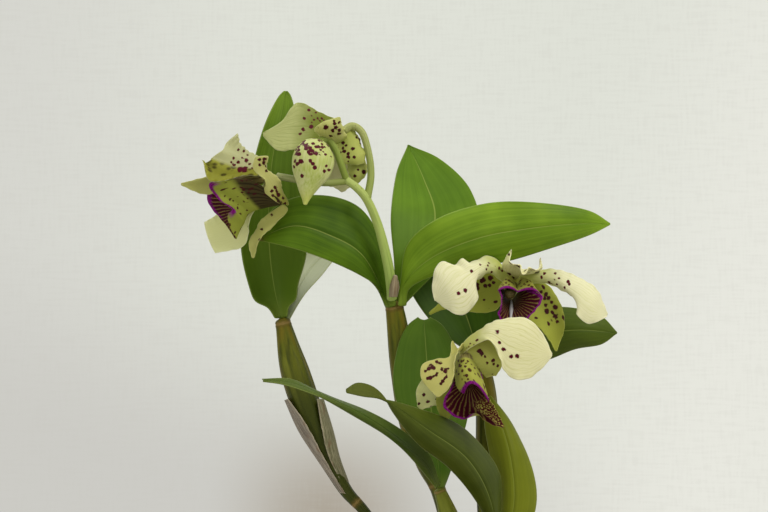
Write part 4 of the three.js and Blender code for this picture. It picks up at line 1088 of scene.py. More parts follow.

# %% [markdown]
# ## The blooms
# A bloom is three sepals outside, two petals, a column in the middle and a lip below it. Every
# sheet starts at the bloom's hub or, for the sepals of the left bloom, at its chin. The column is
# a short club that darkens towards the cap at its end, under which the pollen sits.

# %% [markdown]
# ### The left bloom
# It is seen from its side and hangs with its mouth to the left. Its two lower sepals meet in a
# chin behind the lip, and its upper petal has a frayed end.

# %% Left bloom
BLADE_KINDS = ("sepals", "petals", "lip")
BLOOMS = {}
BLOOMS["bloom_left"] = {
    "hub": [268, 178, -26],
    "chin": [283, 203, -27],
    "hub_radius": 3.4,
    "column": {"path": [[266, 178, -27], [246, 180, -28], [228, 186, -28]], "radii": [2.8, 3, 3.2]},
    "sepals": [
        outline(
            [[262, 170, -22], [228, 171, -20], [202, 178, -20], [181, 183, -20]],
            [[262, 176, -21], [228, 180, -17], [202, 187, -18], [181, 184, -20]],
            [[262, 182, -22], [232, 189, -20], [203, 194, -19], [181, 185, -20]],
            spots=[(211.2, 176, 1.8), (213.8, 180.7, 1.8), (223.9, 180.7, 1.8), (222.5, 174.7, 1.8),
                   (225.2, 170, 2), (219, 171.5, 1.8), (229.2, 175.4, 1.8), (234, 171, 1.8),
                   (217, 177, 1.5)]),
        outline(
            [[278, 203, -31], [267, 193, -38], [263, 180, -42], [253, 168, -45], [255, 157, -46]],
            [[284, 203, -28], [275, 191, -34], [268, 178, -39], [261, 167, -43], [262, 156, -45]],
            [[288, 205, -26], [284, 191, -29], [277, 178, -34], [268, 168, -38], [268, 156, -43]],
            spots=[(259.1, 159.7, 1.6), (264.1, 159.3, 2), (263.4, 162.6, 2), (259.4, 164.6, 1.4),
                   (266.1, 170.7, 1.6), (274.8, 187.4, 2), (271.4, 190.8, 1.6), (272.4, 195.4, 1.5),
                   (277.9, 194.8, 2), (282.8, 197.9, 1.5), (278.1, 202.1, 1.6), (280.8, 202.5, 1.4),
                   (284.5, 203.2, 1.4), (276.3, 191, 1.6), (266, 166, 1.5)],
            from_chin=True, wave=1.1, waves=2),
        outline(
            [[280, 206, -27], [267, 215, -24], [256, 228, -22], [249, 242, -22], [252, 258, -22]],
            [[284, 208, -26], [274, 218, -25], [261, 230, -24], [254, 245, -23], [253, 258, -22]],
            [[288, 209, -25], [278, 222, -26], [265, 232, -26], [259, 243, -25], [254, 258, -22]],
            spots=[(262, 228.9, 1.6), (259.4, 239.4, 1.3), (272, 215, 1.4)],
            from_chin=True, wave=0.9, waves=2),
    ],
    "petals": [
        outline(
            [[266, 163, -24], [253, 154, -26], [241, 146, -30], [235, 133, -34]],
            [[265, 170, -27], [247, 167, -34], [229, 163, -40], [213, 157, -43]],
            [[264, 177, -30], [242, 176, -38], [222, 181, -43], [208, 180, -46], [203, 160, -45]],
            spots=[(237.9, 149.9, 1.4), (243.7, 151.2, 1.5), (233.3, 158.2, 1.4), (237.9, 162.4, 1.7),
                   (233.5, 165, 1.8), (231, 162.5, 1.2), (246, 160.6, 2), (239.3, 170, 2.6),
                   (244, 169.3, 3.2), (242, 158, 1.3), (249, 164, 1.5), (252, 168, 1.5), (247, 155, 1.2)],
            frill=1.2, bite=0.8),
        outline(
            [[262, 186, -20], [236, 204, -14], [218, 214, -12], [204, 222, -12]],
            [[266, 190, -19], [244, 218, -13], [226, 234, -10], [208, 238, -10]],
            [[268, 192, -20], [251, 214, -16], [249, 232, -13], [242, 247, -12], [215, 253, -11]],
            spots=[(246.6, 226.5, 1.5)],
            wave=0.6),
    ],
    "lip": [
        outline(
            [[278, 198, -34], [250, 180, -39], [222, 180, -40], [209, 184, -38], [215, 195, -38],
             [223, 203, -37], [233, 208, -36], [228, 215, -34], [229, 225, -31], [236, 238, -27]],
            [[282, 204, -27], [262, 208, -27], [249, 213, -27], [242, 225, -26], [236, 239, -26]],
            [[278, 198, -19], [250, 180, -15], [224, 182, -14], [211, 187, -14], [207, 198, -15],
             [212, 209, -18], [222, 220, -22], [235, 238, -25]],
            spots=[(242, 180.7, 1.5), (246, 179.6, 1.5), (250, 178.7, 1.2), (240, 185.7, 1.4),
                   (243.3, 189.1, 1.8), (242, 192.1, 1.3), (246.9, 187.4, 1.2), (252.3, 188.3, 1.6),
                   (244, 201.2, 1.5), (247.3, 198.1, 1.2), (246.6, 210.2, 1.2), (232.9, 200.4, 1.1),
                   (237.7, 204.4, 1), (233, 212.4, 1.4), (240.6, 213.5, 1.1), (224.6, 221.3, 1.3),
                   (227.6, 221.6, 1.2), (229, 224.5, 1.7), (245, 195, 1.1), (238, 197, 1)]),
    ],
}
print("left bloom:", sum(len(BLOOMS["bloom_left"][kind]) for kind in BLADE_KINDS), "blades")

# %% [markdown]
# ### The top bloom
# It turns its back, so its sepals and the backs of its petals lie in front and hide its lip.

# %% Top bloom
BLOOMS["bloom_top"] = {
    "hub": [343, 138, -9],
    "hub_radius": 3.4,
    "column": {"path": [[341, 140, -6], [334, 147, 2], [329, 154, 9]], "radii": [2.8, 3, 3.2]},
    "sepals": [
        outline(
            [[336, 144, -17], [321, 137, -26], [314, 130, -29], [323, 122, -31], [338, 117, -31]],
            [[341, 141, -17], [334, 135, -27], [332, 128, -31], [339, 117, -31]],
            [[347, 138, -15], [345, 132, -22], [342, 124, -29], [340, 117, -31]],
            spots=[(325.9, 127.1, 2.4), (334.4, 123.8, 1.6), (332.4, 130.1, 1.8), (339, 122.5, 1.5),
                   (335.7, 127.1, 2), (339, 130.1, 1.8), (339, 133.8, 2), (330.4, 135.8, 1.8),
                   (334, 121, 1.2)],
            wave=0.5),
        outline(
            [[338, 138, -8], [333, 150, -11], [340, 162, -14], [354, 165, -14], [364, 163, -13]],
            [[343, 135, -9], [350, 147, -13], [357, 157, -15], [364, 162, -13]],
            [[346, 128, -8], [355, 131, -8], [360, 142, -10], [365, 152, -12], [365, 161, -13]],
            spots=[(343.1, 143.2, 1.8), (343.1, 148.6, 1.4), (344.4, 151.9, 1.8), (348.4, 153.9, 1.6),
                   (348.4, 157.3, 1.7), (352.9, 149.2, 1.8), (354.2, 157.3, 1.5), (337.7, 148.6, 1.2),
                   (340.4, 152.6, 1.2), (348.4, 161.3, 1), (356.5, 137.9, 1.2), (360.5, 143.5, 1.2),
                   (346, 146, 1.4)],
            wave=0.5),
        outline(
            [[345, 144, -5], [347, 160, -7], [349, 174, -10], [355, 184, -11]],
            [[350, 144, -5], [355, 160, -9], [358, 174, -12], [356, 185, -11]],
            [[354, 142, -5], [364, 158, -8], [367, 172, -10], [357, 185, -11]],
            spots=[(355.1, 176, 1.6), (363.4, 172, 2), (358, 170, 1.2)]),
    ],
    "petals": [
        outline(
            [[330, 142, -11], [312, 146, -16], [292, 149, -19], [278, 151, -18], [263, 136, -16]],
            [[334, 134, -8], [310, 127, -12], [285, 128, -14], [263, 134, -16]],
            [[339, 121, -7], [326, 115, -6], [314, 110, -7], [306, 104, -8], [298, 102, -9],
             [291, 108, -11], [282, 121, -13], [263, 133, -16]],
            spots=[(304.2, 118.7, 1.6), (311.2, 115.8, 1.1), (313.6, 120, 1.2), (312, 122.5, 1.1),
                   (317.4, 118.7, 1.2), (321.6, 118.8, 1.3), (308.7, 110.4, 1.5), (315.6, 112.7, 1.2),
                   (303.2, 129.8, 1.8), (311.2, 127.1, 2.2), (320, 121, 1.2), (324, 120.5, 1.1),
                   (300, 134, 1.5)],
            wave=0.7),
        outline(
            [[336, 146, -4], [326, 164, -2], [323, 180, -2], [340, 191, -3]],
            [[341, 147, -3], [341, 166, 1], [341, 180, 0], [342, 192, -3]],
            [[346, 146, -4], [358, 165, -3], [359, 180, -3], [344, 191, -3]],
            wave=0.5),
    ],
    "lip": [
        outline(
            [[332, 142, -1], [318, 142, 10], [310, 150, 20], [312, 164, 22], [320, 174, 20],
             [326, 184, 20]],
            [[338, 152, -1], [334, 164, 6], [330, 172, 12], [328, 178, 18], [327, 186, 22]],
            [[344, 148, 1], [342, 148, 14], [336, 152, 24], [334, 166, 26], [332, 176, 24],
             [328, 184, 21]]),
    ],
}
print("top bloom:", sum(len(BLOOMS["bloom_top"][kind]) for kind in BLADE_KINDS), "blades")

# %% [markdown]
# ### The right bloom
# It faces the front. Its petals fold over at their ends, and the two side lobes of the lip are
# hoods that rise from the pouch beside the column.

# %% Right bloom
BLOOMS["bloom_right"] = {
    "hub": [514, 283, -20],
    "hub_radius": 3.6,
    "column": {"path": [[514, 284, -22], [511, 290, -27], [509, 296, -33]], "radii": [2.4, 2.5, 2.4]},
    "sepals": [
        outline(
            [[508, 279, -18], [502, 267, -22], [504, 260, -28], [508, 250, -35]],
            [[517, 280, -18], [521, 270, -25], [523, 270, -33], [524, 271, -39]],
            [[526, 279, -18], [539, 272, -22], [543, 267, -30], [543, 259, -36]],
            spots=[(518.2, 266.5, 2.2), (516, 264.5, 1.8), (532.9, 269.2, 1.8), (537.3, 265.6, 2.4),
                   (539, 262, 1.8)],
            frill=1.5),
        outline(
            [[508, 276, -17], [482, 270, -13], [456, 288, -9], [430, 312, -8]],
            [[506, 284, -18], [484, 292, -15], [458, 301, -12], [429, 313, -8]],
            [[507, 291, -19], [496, 310, -21], [470, 312, -17], [448, 308, -11], [430, 315, -8]],
            spots=[(482.8, 280.3, 3), (490.8, 278.4, 2.6), (485.7, 286, 2), (490.2, 285.6, 1.8),
                   (477.1, 285.4, 2.6), (484.4, 300, 1.3), (488.9, 308.7, 1.1), (478, 289, 1.6),
                   (494, 283, 1.8)]),
        outline(
            [[519, 292, -21], [527, 316, -27], [546, 335, -29], [555, 351, -27]],
            [[523, 286, -20], [541, 306, -22], [553, 326, -25], [556, 351, -27]],
            [[526, 281, -19], [548, 285, -17], [561, 306, -19], [565, 324, -22], [557, 351, -27]],
            spots=[(545.6, 294.3, 2), (548.2, 298.1, 2.2), (544.4, 298.8, 1.8), (551.4, 302.6, 1.8),
                   (545.6, 305.2, 1.8), (555.2, 307.3, 2.4), (546.3, 311.5, 2.6), (552, 312.8, 1.8),
                   (555.2, 316.6, 2.4), (557.1, 322, 1.8), (536.1, 318.2, 1.6), (541, 292, 1.6)],
            wave=0.4),
    ],
    "petals": [
        outline(
            [[507, 284, -21], [486, 273, -25], [474, 286, -31], [476, 302, -36], [463, 315, -37],
             [446, 309, -36], [437, 302, -34]],
            [[507, 279, -21], [487, 266, -27], [468, 276, -33], [452, 290, -37], [436, 301, -34]],
            [[508, 274, -20], [500, 262, -20], [489, 257, -21], [479, 258, -23], [471, 261, -24],
             [466, 264, -26], [461, 260, -28], [455, 265, -28], [448, 261, -30], [440, 263, -31],
             [434, 273, -33], [432, 289, -34], [435, 301, -34]],
            spots=[(458.3, 293.4, 1.8), (465.3, 290.5, 2.1), (471.3, 271.4, 1.6), (480.6, 265.2, 1.2),
                   (488.9, 263.1, 1.3), (487.6, 265.6, 1.1), (486.3, 269.4, 1.2), (491.4, 272, 1.2),
                   (499, 268.4, 1.6), (479, 274.5, 1), (495, 266, 1), (502, 271, 1.3)],
            wave=0.8, waves=4),
        outline(
            [[521, 275, -20], [544, 269, -21], [562, 271, -25], [579, 277, -28], [594, 287, -30],
             [603, 301, -30], [608, 314, -29]],
            [[522, 280, -21], [548, 278, -25], [570, 288, -31], [590, 303, -35], [607, 315, -29]],
            [[521, 284, -21], [548, 284, -23], [566, 292, -28], [577, 304, -33], [579, 317, -36],
             [589, 324, -35], [601, 320, -32], [607, 316, -29]],
            spots=[(544.7, 273.9, 1.6), (541.8, 277.3, 1.5), (555.6, 273.9, 1.3), (559.3, 278.4, 1.2),
                   (554.8, 279.9, 1.1), (557.1, 284.5, 1.2), (549.1, 282.4, 1.8), (568, 281.9, 1.7),
                   (569.5, 284.7, 1.4), (564.8, 287.7, 1.3), (552, 283.8, 1.2)],
            wave=0.5),
    ],
    "lip": [
        outline(
            [[505, 290, -24], [499, 288, -34], [502, 298, -40], [501, 306, -42], [498, 313, -43],
             [502, 321, -44], [511, 330, -43]],
            [[511, 300, -23], [511, 309, -28], [511, 316, -34], [512, 323, -40], [512, 331, -43]],
            [[519, 290, -24], [532, 290, -34], [542, 296, -40], [541, 303, -42], [534, 311, -43],
             [524, 322, -44], [513, 330, -43]],
            turned=True),
        outline(
            [[504, 289, -24], [499, 288, -33], [498, 291, -37]],
            [[509, 276, -24], [507, 280, -31], [508, 288, -37]],
            [[516, 287, -25], [517, 289, -31], [518, 292, -36]],
            spots=[(502.9, 280.9, 1.4), (506, 283, 1.2), (503, 285, 1.2), (511.8, 282.2, 1.4),
                   (509, 284.5, 1.2), (514, 284, 1.2), (506, 279.5, 1.2)]),
        outline(
            [[517, 287, -25], [517, 289, -31], [518, 292, -36]],
            [[522, 278, -24], [529, 281, -31], [532, 290, -37]],
            [[521, 290, -25], [532, 290, -34], [542, 296, -40]],
            spots=[(537.3, 285.4, 2.2), (532, 287, 1.6), (524, 284, 1.3), (527, 282, 1.3),
                   (521, 286, 1.4), (529, 285.5, 1.3), (534, 290, 1.4)]),
    ],
}
print("right bloom:", sum(len(BLOOMS["bloom_right"][kind]) for kind in BLADE_KINDS), "blades")

# %% [markdown]
# ### The front bloom
# It looks down to the left. One petal spreads to the right like a sail, and the lip's hood
# covers the column as a long spotted arch.

# %% Front bloom
BLOOMS["bloom_front"] = {
    "hub": [464, 352, -42],
    "hub_radius": 3.4,
    "column": {"path": [[465, 354, -44], [467, 364, -48], [468, 376, -51]], "radii": [2.8, 3, 3.2]},
    "sepals": [
        outline(
            [[458, 350, -42], [452, 341, -47], [449, 357, -52], [436, 359, -54], [422, 365, -57],
             [421, 378, -59], [429, 389, -60], [437, 397, -62]],
            [[461, 351, -43], [457, 352, -50], [448, 364, -55], [440, 378, -59], [438, 397, -62]],
            [[464, 350, -45], [463, 343, -50], [455, 358, -56], [454, 373, -60], [449, 388, -62],
             [439, 397, -62]],
            spots=[(425.3, 371.3, 1.5), (430.7, 364.9, 1.5), (436.6, 362.4, 1.8), (440.1, 363.4, 1.8),
                   (428.7, 368.8, 2.3), (433.7, 368.3, 2), (432, 366.5, 1.5), (442, 369.8, 1.8),
                   (445.5, 371.3, 2.3), (430.2, 378.2, 2.2), (427.5, 378.6, 1.6), (433.7, 376.2, 1.4),
                   (437.1, 373.3, 1.3), (446.5, 377.2, 1.5), (442.6, 381.7, 1.8), (441, 384, 1.5),
                   (444.5, 379.2, 1.5), (448, 369, 1.5)]),
        outline(
            [[464, 356, -43], [474, 363, -45], [481, 371, -47], [486, 378, -49]],
            [[466, 351, -40], [482, 352, -37], [492, 362, -39], [492, 376, -47]],
            [[468, 347, -41], [484, 335, -40], [500, 346, -39], [503, 363, -42], [496, 376, -46]],
            spots=[(479.1, 351, 2.5), (481.1, 353.5, 2.5), (493, 360.9, 2), (493.5, 364.4, 1.6),
                   (487, 363.4, 1.4), (497.6, 366.3, 1.5), (492, 374.3, 1), (485, 357, 1.5)]),
        outline(
            [[460, 358, -41], [444, 380, -41], [436, 400, -44], [439, 413, -46], [443, 420, -47]],
            [[463, 360, -41], [452, 386, -43], [447, 404, -45], [445, 421, -47]],
            [[467, 360, -42], [463, 388, -45], [457, 407, -47], [448, 419, -47]]),
    ],
    "petals": [
        outline(
            [[460, 350, -45], [468, 338, -45], [480, 329, -47], [500, 320, -54], [526, 318, -57],
             [544, 336, -54], [552, 353, -51]],
            [[462, 352, -46], [476, 337, -49], [492, 334, -56], [510, 346, -59], [530, 351, -56],
             [552, 354, -51]],
            [[464, 353, -47], [478, 343, -53], [491, 341, -59], [501, 360, -60], [510, 377, -56],
             [530, 378, -53], [546, 364, -51], [552, 355, -51]],
            spots=[(497.6, 332.2, 2.1), (499.6, 342.6, 1.8), (496.4, 344.6, 1.2), (502.7, 349.5, 2),
                   (505, 349.6, 1.3), (510.8, 356.2, 1.9), (517, 355.8, 2.1), (477.2, 340.1, 1.6),
                   (484.6, 345.6, 1.3), (470.7, 343.6, 1.2), (474, 345, 1), (469, 347, 1),
                   (466.5, 348, 1)],
            wave=0.5),
        outline(
            [[459, 352, -39], [432, 370, -34], [417, 388, -36], [417, 406, -40]],
            [[460, 358, -38], [441, 382, -36], [430, 396, -38], [419, 408, -40]],
            [[462, 362, -39], [450, 390, -40], [440, 404, -42], [421, 409, -41]],
            spots=[(423.8, 395, 1.8), (428, 401.9, 1.8), (431.2, 407.4, 1.6), (419, 404, 1.4),
                   (436.6, 399, 1.5), (433, 392, 1.3)],
            wave=0.5),
    ],
    "lip": [
        outline(
            [[456, 362, -46], [452, 385, -52], [443, 405, -55], [451, 414, -54], [464, 419, -52],
             [475, 413, -50], [490, 424, -51], [503, 428, -52]],
            [[465, 366, -43], [469, 388, -45], [475, 403, -46], [488, 416, -49], [503, 427, -52]],
            [[474, 362, -47], [482, 376, -54], [484, 388, -58], [492, 403, -57], [499, 415, -54],
             [504, 427, -52]],
            turned=True),
        outline(
            [[456, 362, -46], [455, 376, -52], [458, 389, -56], [464, 394, -58]],
            [[465, 358, -53], [468, 372, -60], [474, 384, -63]],
            [[474, 362, -47], [481, 376, -54], [486, 390, -59], [489, 402, -58]],
            spots=[(463.3, 360.9, 1.3), (466, 363.5, 1.1), (460.9, 366.3, 1.4), (465.3, 366.8, 1.2),
                   (462.8, 370.8, 1.5), (470.2, 369.8, 1.6), (474.7, 368.3, 1.4), (478.2, 374.3, 1.4),
                   (475.2, 374.3, 1.2), (466.8, 375.7, 1.5), (468.3, 379.2, 1.1), (462.3, 379.5, 1),
                   (465.5, 382.7, 1.3), (473.9, 380, 1.1), (468, 361.5, 1.2), (471.5, 364.5, 1.2),
                   (459, 374, 1.2)]),
    ],
}
print("front bloom:", sum(len(BLOOMS["bloom_front"][kind]) for kind in BLADE_KINDS), "blades")

# %% [markdown]
# ### Bloom colours
# Every bloom hangs in a light of its own, so each has three tones for its petals and three for its
# sepals: the green of the foot, the cream of the tip and the duller back. The lip has one tone for
# its outside, and the place on its floor from which the lines inside it fan out.

# %% Bloom finishes
# Foot, tip and back of the petals, then of the sepals, and the outside of the lip
PETAL_SKINS = {
    "bloom_left": ((152, 156, 80), (182, 182, 136), (180, 180, 134)),
    "bloom_top": ((112, 122, 42), (176, 180, 120), (176, 178, 120)),
    "bloom_right": ((180, 186, 96), (228, 224, 186), (218, 216, 166)),
    "bloom_front": ((180, 182, 96), (230, 226, 180), (214, 210, 158)),
}
SEPAL_SKINS = {
    "bloom_left": ((150, 150, 68), (182, 180, 112), (170, 170, 96)),
    "bloom_top": ((150, 160, 68), (188, 188, 116), (168, 176, 86)),
    "bloom_right": ((140, 148, 48), (172, 176, 76), (152, 158, 60)),
    "bloom_front": ((150, 150, 62), (196, 190, 124), (176, 172, 96)),
}
LIP_SKINS = {
    "bloom_left": (150, 158, 62),
    "bloom_top": (160, 166, 80),
    "bloom_right": (150, 150, 66),
    "bloom_front": (164, 164, 72),
}
# Between which shares along a petal its foot's colour turns into its tip's
FADE = (0.1, 0.5)
LATE_FADES = {"bloom_top": (0.3, 0.7)}
# Where the lip's fan of lines starts, and what else its finish needs
LIP_FORMS = {
    "bloom_left": ([250, 205, -27], {"base_shade": 1.0, "frame": (0.46, 0.80), "band": 3.2, "lines": 60.0}),
    "bloom_top": ([330, 160, 0], {}),
    "bloom_right": ([512, 301, -28], {"band": 2.0}),
    "bloom_front": ([469, 382, -46], {"frame": (0.2, 0.72), "lobe": 1.0, "band": 1.9}),
}


def column_finish(name):
    """Olive brown, darker towards the cap, with faint lines along it."""
    material = begin(name)
    grain, share = attribute("grain"), attribute("share")
    along = part_of(share, "Y")
    line = noise(scaled(grain, 1.6, 1.6, 0.1), 1.0, 2.0)
    colour = blend(paint(156, 146, 84), paint(110, 96, 52), smooth(line, 0.4, 0.6))
    colour = blend(colour, paint(92, 78, 44), smooth(along, 0.5, 0.85) * 0.6)
    return dress(material, colour, 0.5, line, 0.1 * MM, **LIVING, Specular_ior_level=0.2)


def callus_finish(name):
    """White wax with a faint grain."""
    material = begin(name)
    grain = noise(attribute("grain"), 1.2, 2.0)
    colour = blend(paint(216, 214, 212), paint(176, 170, 176), grain)
    return dress(material, colour, 0.4, grain, 0.05 * MM, **LIVING)


# %% [markdown]
# ### The bloom pieces
# The blades of a bloom that share its skin become one piece, and a blade whose tone or spots differ
# becomes a piece of its own. The column, the ovary behind the sepals, the pouch of the lip and its
# hoods follow. A small ridge of white wax, the callus, lies in the throat of the right bloom.

# %% Blooms
def column_relief(u, angle):
    """A groove along one side and a waist before the cap."""
    groove = 0.12 * np.exp(-(np.angle(np.exp(1j * angle)) / 0.6) ** 2)
    return -groove - 0.08 * np.exp(-((u - 0.78) / 0.03) ** 2)


def root_of(bloom, kind, form):
    """Petals start where the column does, sepals at the hub or at the chin."""
    if kind == "petals":
        return bloom["column"]["path"][0]
    return bloom["chin" if "from_chin" in form else "hub"]


def ovary_line(bloom):
    """The path and radii of the knob that the sepals share."""
    hub = np.array(bloom["hub"], float)
    if "chin" in bloom:
        return [hub, (hub + bloom["chin"]) / 2, bloom["chin"]], [bloom["hub_radius"], 3, 2]
    return [hub - [2, 2, 0], hub + [2, 2, 0]], [bloom["hub_radius"]] * 2


zone_foot = place([[230, 186, -30]])[0][2]
# Foot, tip and back of the blades that differ from their bloom, then density, size and reach of spots
OWN_TONES = {
    ("bloom_right", "sepals", 0): ((180, 176, 92), (236, 232, 178), (236, 230, 172), 0.8, 3.4, 1.2),
    # painted light: the left bloom's lower petal is painted brighter than its bloom, for light shining
    # through it
    ("bloom_left", "petals", 1): ((196, 202, 110), (236, 238, 184), (224, 226, 164), 0.0, 2.0, 0.5),
    ("bloom_front", "petals", 1): ((142, 146, 70), (190, 190, 134), (178, 180, 118), 0.2, 2.2, 0.6),
    ("bloom_front", "sepals", 1): ((104, 106, 34), (178, 178, 96), (160, 162, 78), 0.3, 2.4, 0.6),
    ("bloom_front", "sepals", 2): ((112, 116, 40), (142, 146, 60), (134, 138, 54), 0.2, 2.2, 0.6),
    ("bloom_top", "petals", 1): ((190, 190, 120), (214, 212, 166), (206, 204, 156), 0.0, 2.0, 0.5),
}
OWN_SKINS = {}
for key, (*tones, density, size, reach) in OWN_TONES.items():
    label = "{} {} skin {}".format(*key).replace("_", " ")
    tones = [paint(*tone) for tone in tones]
    OWN_SKINS[key] = petal_finish(label, *tones, density, size, reach, spot_tone=DARK_MAROON)


def make_bloom_blades(name, kind, skin, ripple, **size):
    """One piece for the blades that share the bloom's skin, and one for each blade with its own."""
    bloom = BLOOMS[name]
    groups = {}
    for number, form in enumerate(bloom[kind]):
        part = blade(rooted({"ripple": ripple, **form}, root_of(bloom, kind, form)), **size)
        own = OWN_SKINS.get((name, kind, number))
        group = groups.setdefault(number if own else "rest", (own or skin, []))
        group[1].append(part)
    for ending, (finish, parts) in groups.items():
        node = f"{name}_{kind}"
        make_piece(f"{node}_{ending}", stitched(parts), finish, [node])


for name, bloom in BLOOMS.items():
    plain = name.replace("_", " ")
    tones = [paint(*tone) for tone in PETAL_SKINS[name]]
    petal_skin = petal_finish(plain + " petal skin", *tones, density=0.30, size=1.9, reach=0.22,
                              zone_foot=zone_foot if name == "bloom_left" else None,
                              fade=LATE_FADES.get(name, FADE))
    make_bloom_blades(name, "petals", petal_skin, 0.5, rows=90, columns=53)
    column = stem(**bloom["column"], rows=60, sides=40, relief=column_relief, cap=1.0)
    column_skin = column_finish(plain + " column skin")
    make_piece(name + "_column", column, column_skin, [name + "_petals"])
    tones = [paint(*tone) for tone in SEPAL_SKINS[name]]
    sepal_skin = petal_finish(plain + " sepal skin", *tones, 0.14, 2.2, 0.9, spot_tone=DARK_MAROON)
    make_bloom_blades(name, "sepals", sepal_skin, 0.35)
    ovary = stem(*ovary_line(bloom), rows=40, sides=36, cap=1.0)
    make_piece(name + "_ovary", ovary, sepal_skin, [name + "_sepals"])
    throat, extra = LIP_FORMS[name]
    outer, throat = paint(*LIP_SKINS[name]), place([throat])[0]
    pouch, *hoods = bloom["lip"]
    lip_skin = lip_finish(plain + " pouch skin", outer, throat, **extra)
    lip = blade({"ripple": 0.35, **pouch}, rows=90, columns=57)
    make_piece(name + "_lip_pouch", lip, lip_skin, [name + "_lip"])
    if hoods:
        hood_skin = lip_finish(plain + " hood skin", outer, throat, hood=1.0)
        hood = stitched([blade({"ripple": 0.2, **form}, rows=60, columns=61) for form in hoods])
        make_piece(name + "_lip_hood", hood, hood_skin, [name + "_lip"])
CALLUS = [[511.5, 301, -25.4], [511.3, 309, -29.6], [510.9, 316, -35.4], [510.9, 321, -39.6]]
callus = stem(CALLUS, [0.5, 0.9, 0.6, 0.5], rows=40, sides=20)
make_piece("bloom_right_callus", callus, callus_finish("callus wax"), ["bloom_right_lip"])
print("blooms:", len(BLOOMS))

# %% [markdown]
# ## The rhizome and its roots
# The canes rise from a creeping stem, the rhizome, which lies half in the bark. Roots leave it,
# run over the bark and dive in. They are stems too, with a slow wobble in their thickness.

# %% Rhizome and roots
RHIZOME = {
    "path": [[424, 634, 12], [445, 637, 12], [470, 637, 10], [494, 637, 6], [514, 640, 2]],
    "radii": [3.2, 4.4, 4.6, 4.4, 2.6],
}
ROOTS = [
    [[440, 638, 12], [418, 634, 26], [400, 640, 32], [394, 660, 34]],
    [[452, 638, 12], [458, 631, 30], [464, 640, 40], [466, 662, 42]],
    [[480, 638, 9], [500, 630, 24], [518, 640, 30], [526, 660, 32]],
    [[506, 639, 3], [528, 632, -4], [542, 641, -12], [548, 662, -14]],
    [[432, 637, 12], [408, 632, 2], [392, 641, -10], [388, 662, -16]],
]


def root_relief(u, angle):
    """A slow swell of three waves along the root."""
    return 0.07 * np.sin(2 * np.pi * 3 * u + angle) + 0.04 * np.cos(2 * angle + 5 * u)


def rhizome_relief(u, angle):
    """Close rings of old scales, and lumps."""
    return 0.05 * np.abs(np.sin(22 * u)) + 0.04 * np.sin(3 * angle + 9 * u)


root_parts = [stem(path, [1.8, 1.7, 1.5], rows=80, sides=24, relief=root_relief) for path in ROOTS]
root_parts.append(stem(**RHIZOME, rows=110, sides=32, relief=rhizome_relief))
make_piece("rhizome_with_roots", stitched(root_parts), root_finish(), ["rhizome_and_roots"])
print("roots:", len(ROOTS))

# %% [markdown]
# ## The pot
# A clay pot is turned, so its shape is one profile swung about the axis. The profile goes from the
# middle of the underside up the outer wall, over the rim and down inside to the middle of the
# floor. Its corners are cut twice (each corner gives way to two points a quarter of the way along
# its sides), which is how a thumb rounds wet clay. The drain holes are cut through the floor.

# %% Pot
POT_HEIGHT = 105 * MM
POT_TOP_RADIUS = 60 * MM
POT_BASE_RADIUS = 42 * MM
POT_WALL = 4.5 * MM
POT_FLOOR = 6 * MM
RIM_HEIGHT = 15 * MM
RIM_REACH = 3 * MM
POT_EDGE = 1.5 * MM
DRAIN_RADIUS = 5 * MM
DRAIN_RING = 22 * MM
DRAIN_HOLES = 4


def wall_radius(height):
    """Outer radius of the slanted wall at a height."""
    return POT_BASE_RADIUS + (POT_TOP_RADIUS - POT_BASE_RADIUS) * height / POT_HEIGHT


def cut_corners(profile, times):
    """Each side keeps the points at a quarter and three quarters of it; the two ends stay."""
    for _ in range(times):
        first, second = profile[:-1], profile[1:]
        cuts = [0.75 * first + 0.25 * second, 0.25 * first + 0.75 * second]
        cut = np.stack(cuts, axis=1).reshape(-1, 2)
        profile = np.vstack([profile[:1], cut[1:-1], profile[-1:]])
    return profile


def turned(profile, sides):
    """point = (radius cos angle, radius sin angle, height); its two ends on the axis are poles."""
    angle = np.arange(sides) * 2 * np.pi / sides
    radius, height = profile[1:-1, 0, None], profile[1:-1, 1, None]
    rings = np.stack([radius * np.cos(angle), radius * np.sin(angle), height + 0 * angle], axis=-1)
    points = np.vstack([rings.reshape(-1, 3), [[0, 0, profile[0, 1]], [0, 0, profile[-1, 1]]]])
    return {
        "points": points,
        "quads": grid_quads(rings.shape[0], sides, closed=True),
        "ends": pole_fans(rings.shape[0] * sides, sides),
        "grain": points / MM,
        "share": np.zeros((len(points), 3)),
        "spot": np.full(len(points), NO_SPOT),
    }


band_foot = POT_HEIGHT - RIM_HEIGHT
band_radius = POT_TOP_RADIUS + RIM_REACH
heights = np.linspace(2 * POT_EDGE, band_foot - POT_EDGE, 24)
inside_heights = np.linspace(POT_HEIGHT - 2 * POT_EDGE, POT_FLOOR + 2 * POT_EDGE, 16)
turning_marks = 0.10 * MM * np.sin(heights / MM * 0.9)
outer_wall = np.stack([wall_radius(heights) + turning_marks, heights], axis=1)
inner_wall = np.stack([wall_radius(inside_heights) - POT_WALL, inside_heights], axis=1)
underside = [[0, 0], [POT_BASE_RADIUS / 2, 0], [POT_BASE_RADIUS - POT_EDGE, 0], [POT_BASE_RADIUS, POT_EDGE]]
band = [[wall_radius(band_foot), band_foot], [band_radius - POT_EDGE, band_foot],
        [band_radius, band_foot + POT_EDGE], [band_radius, band_foot + RIM_HEIGHT / 2],
        [band_radius, POT_HEIGHT - POT_EDGE], [band_radius - POT_EDGE, POT_HEIGHT],
        [POT_TOP_RADIUS - POT_WALL + POT_EDGE, POT_HEIGHT]]
inner_floor = [[wall_radius(POT_FLOOR) - POT_WALL - POT_EDGE, POT_FLOOR], [POT_BASE_RADIUS / 3, POT_FLOOR],
               [0, POT_FLOOR]]
pot_profile = np.vstack([underside, outer_wall, band, inner_wall, inner_floor])
pot = make_piece("pot_turned", turned(cut_corners(pot_profile, 2), 160), clay_finish(), ["pot"])


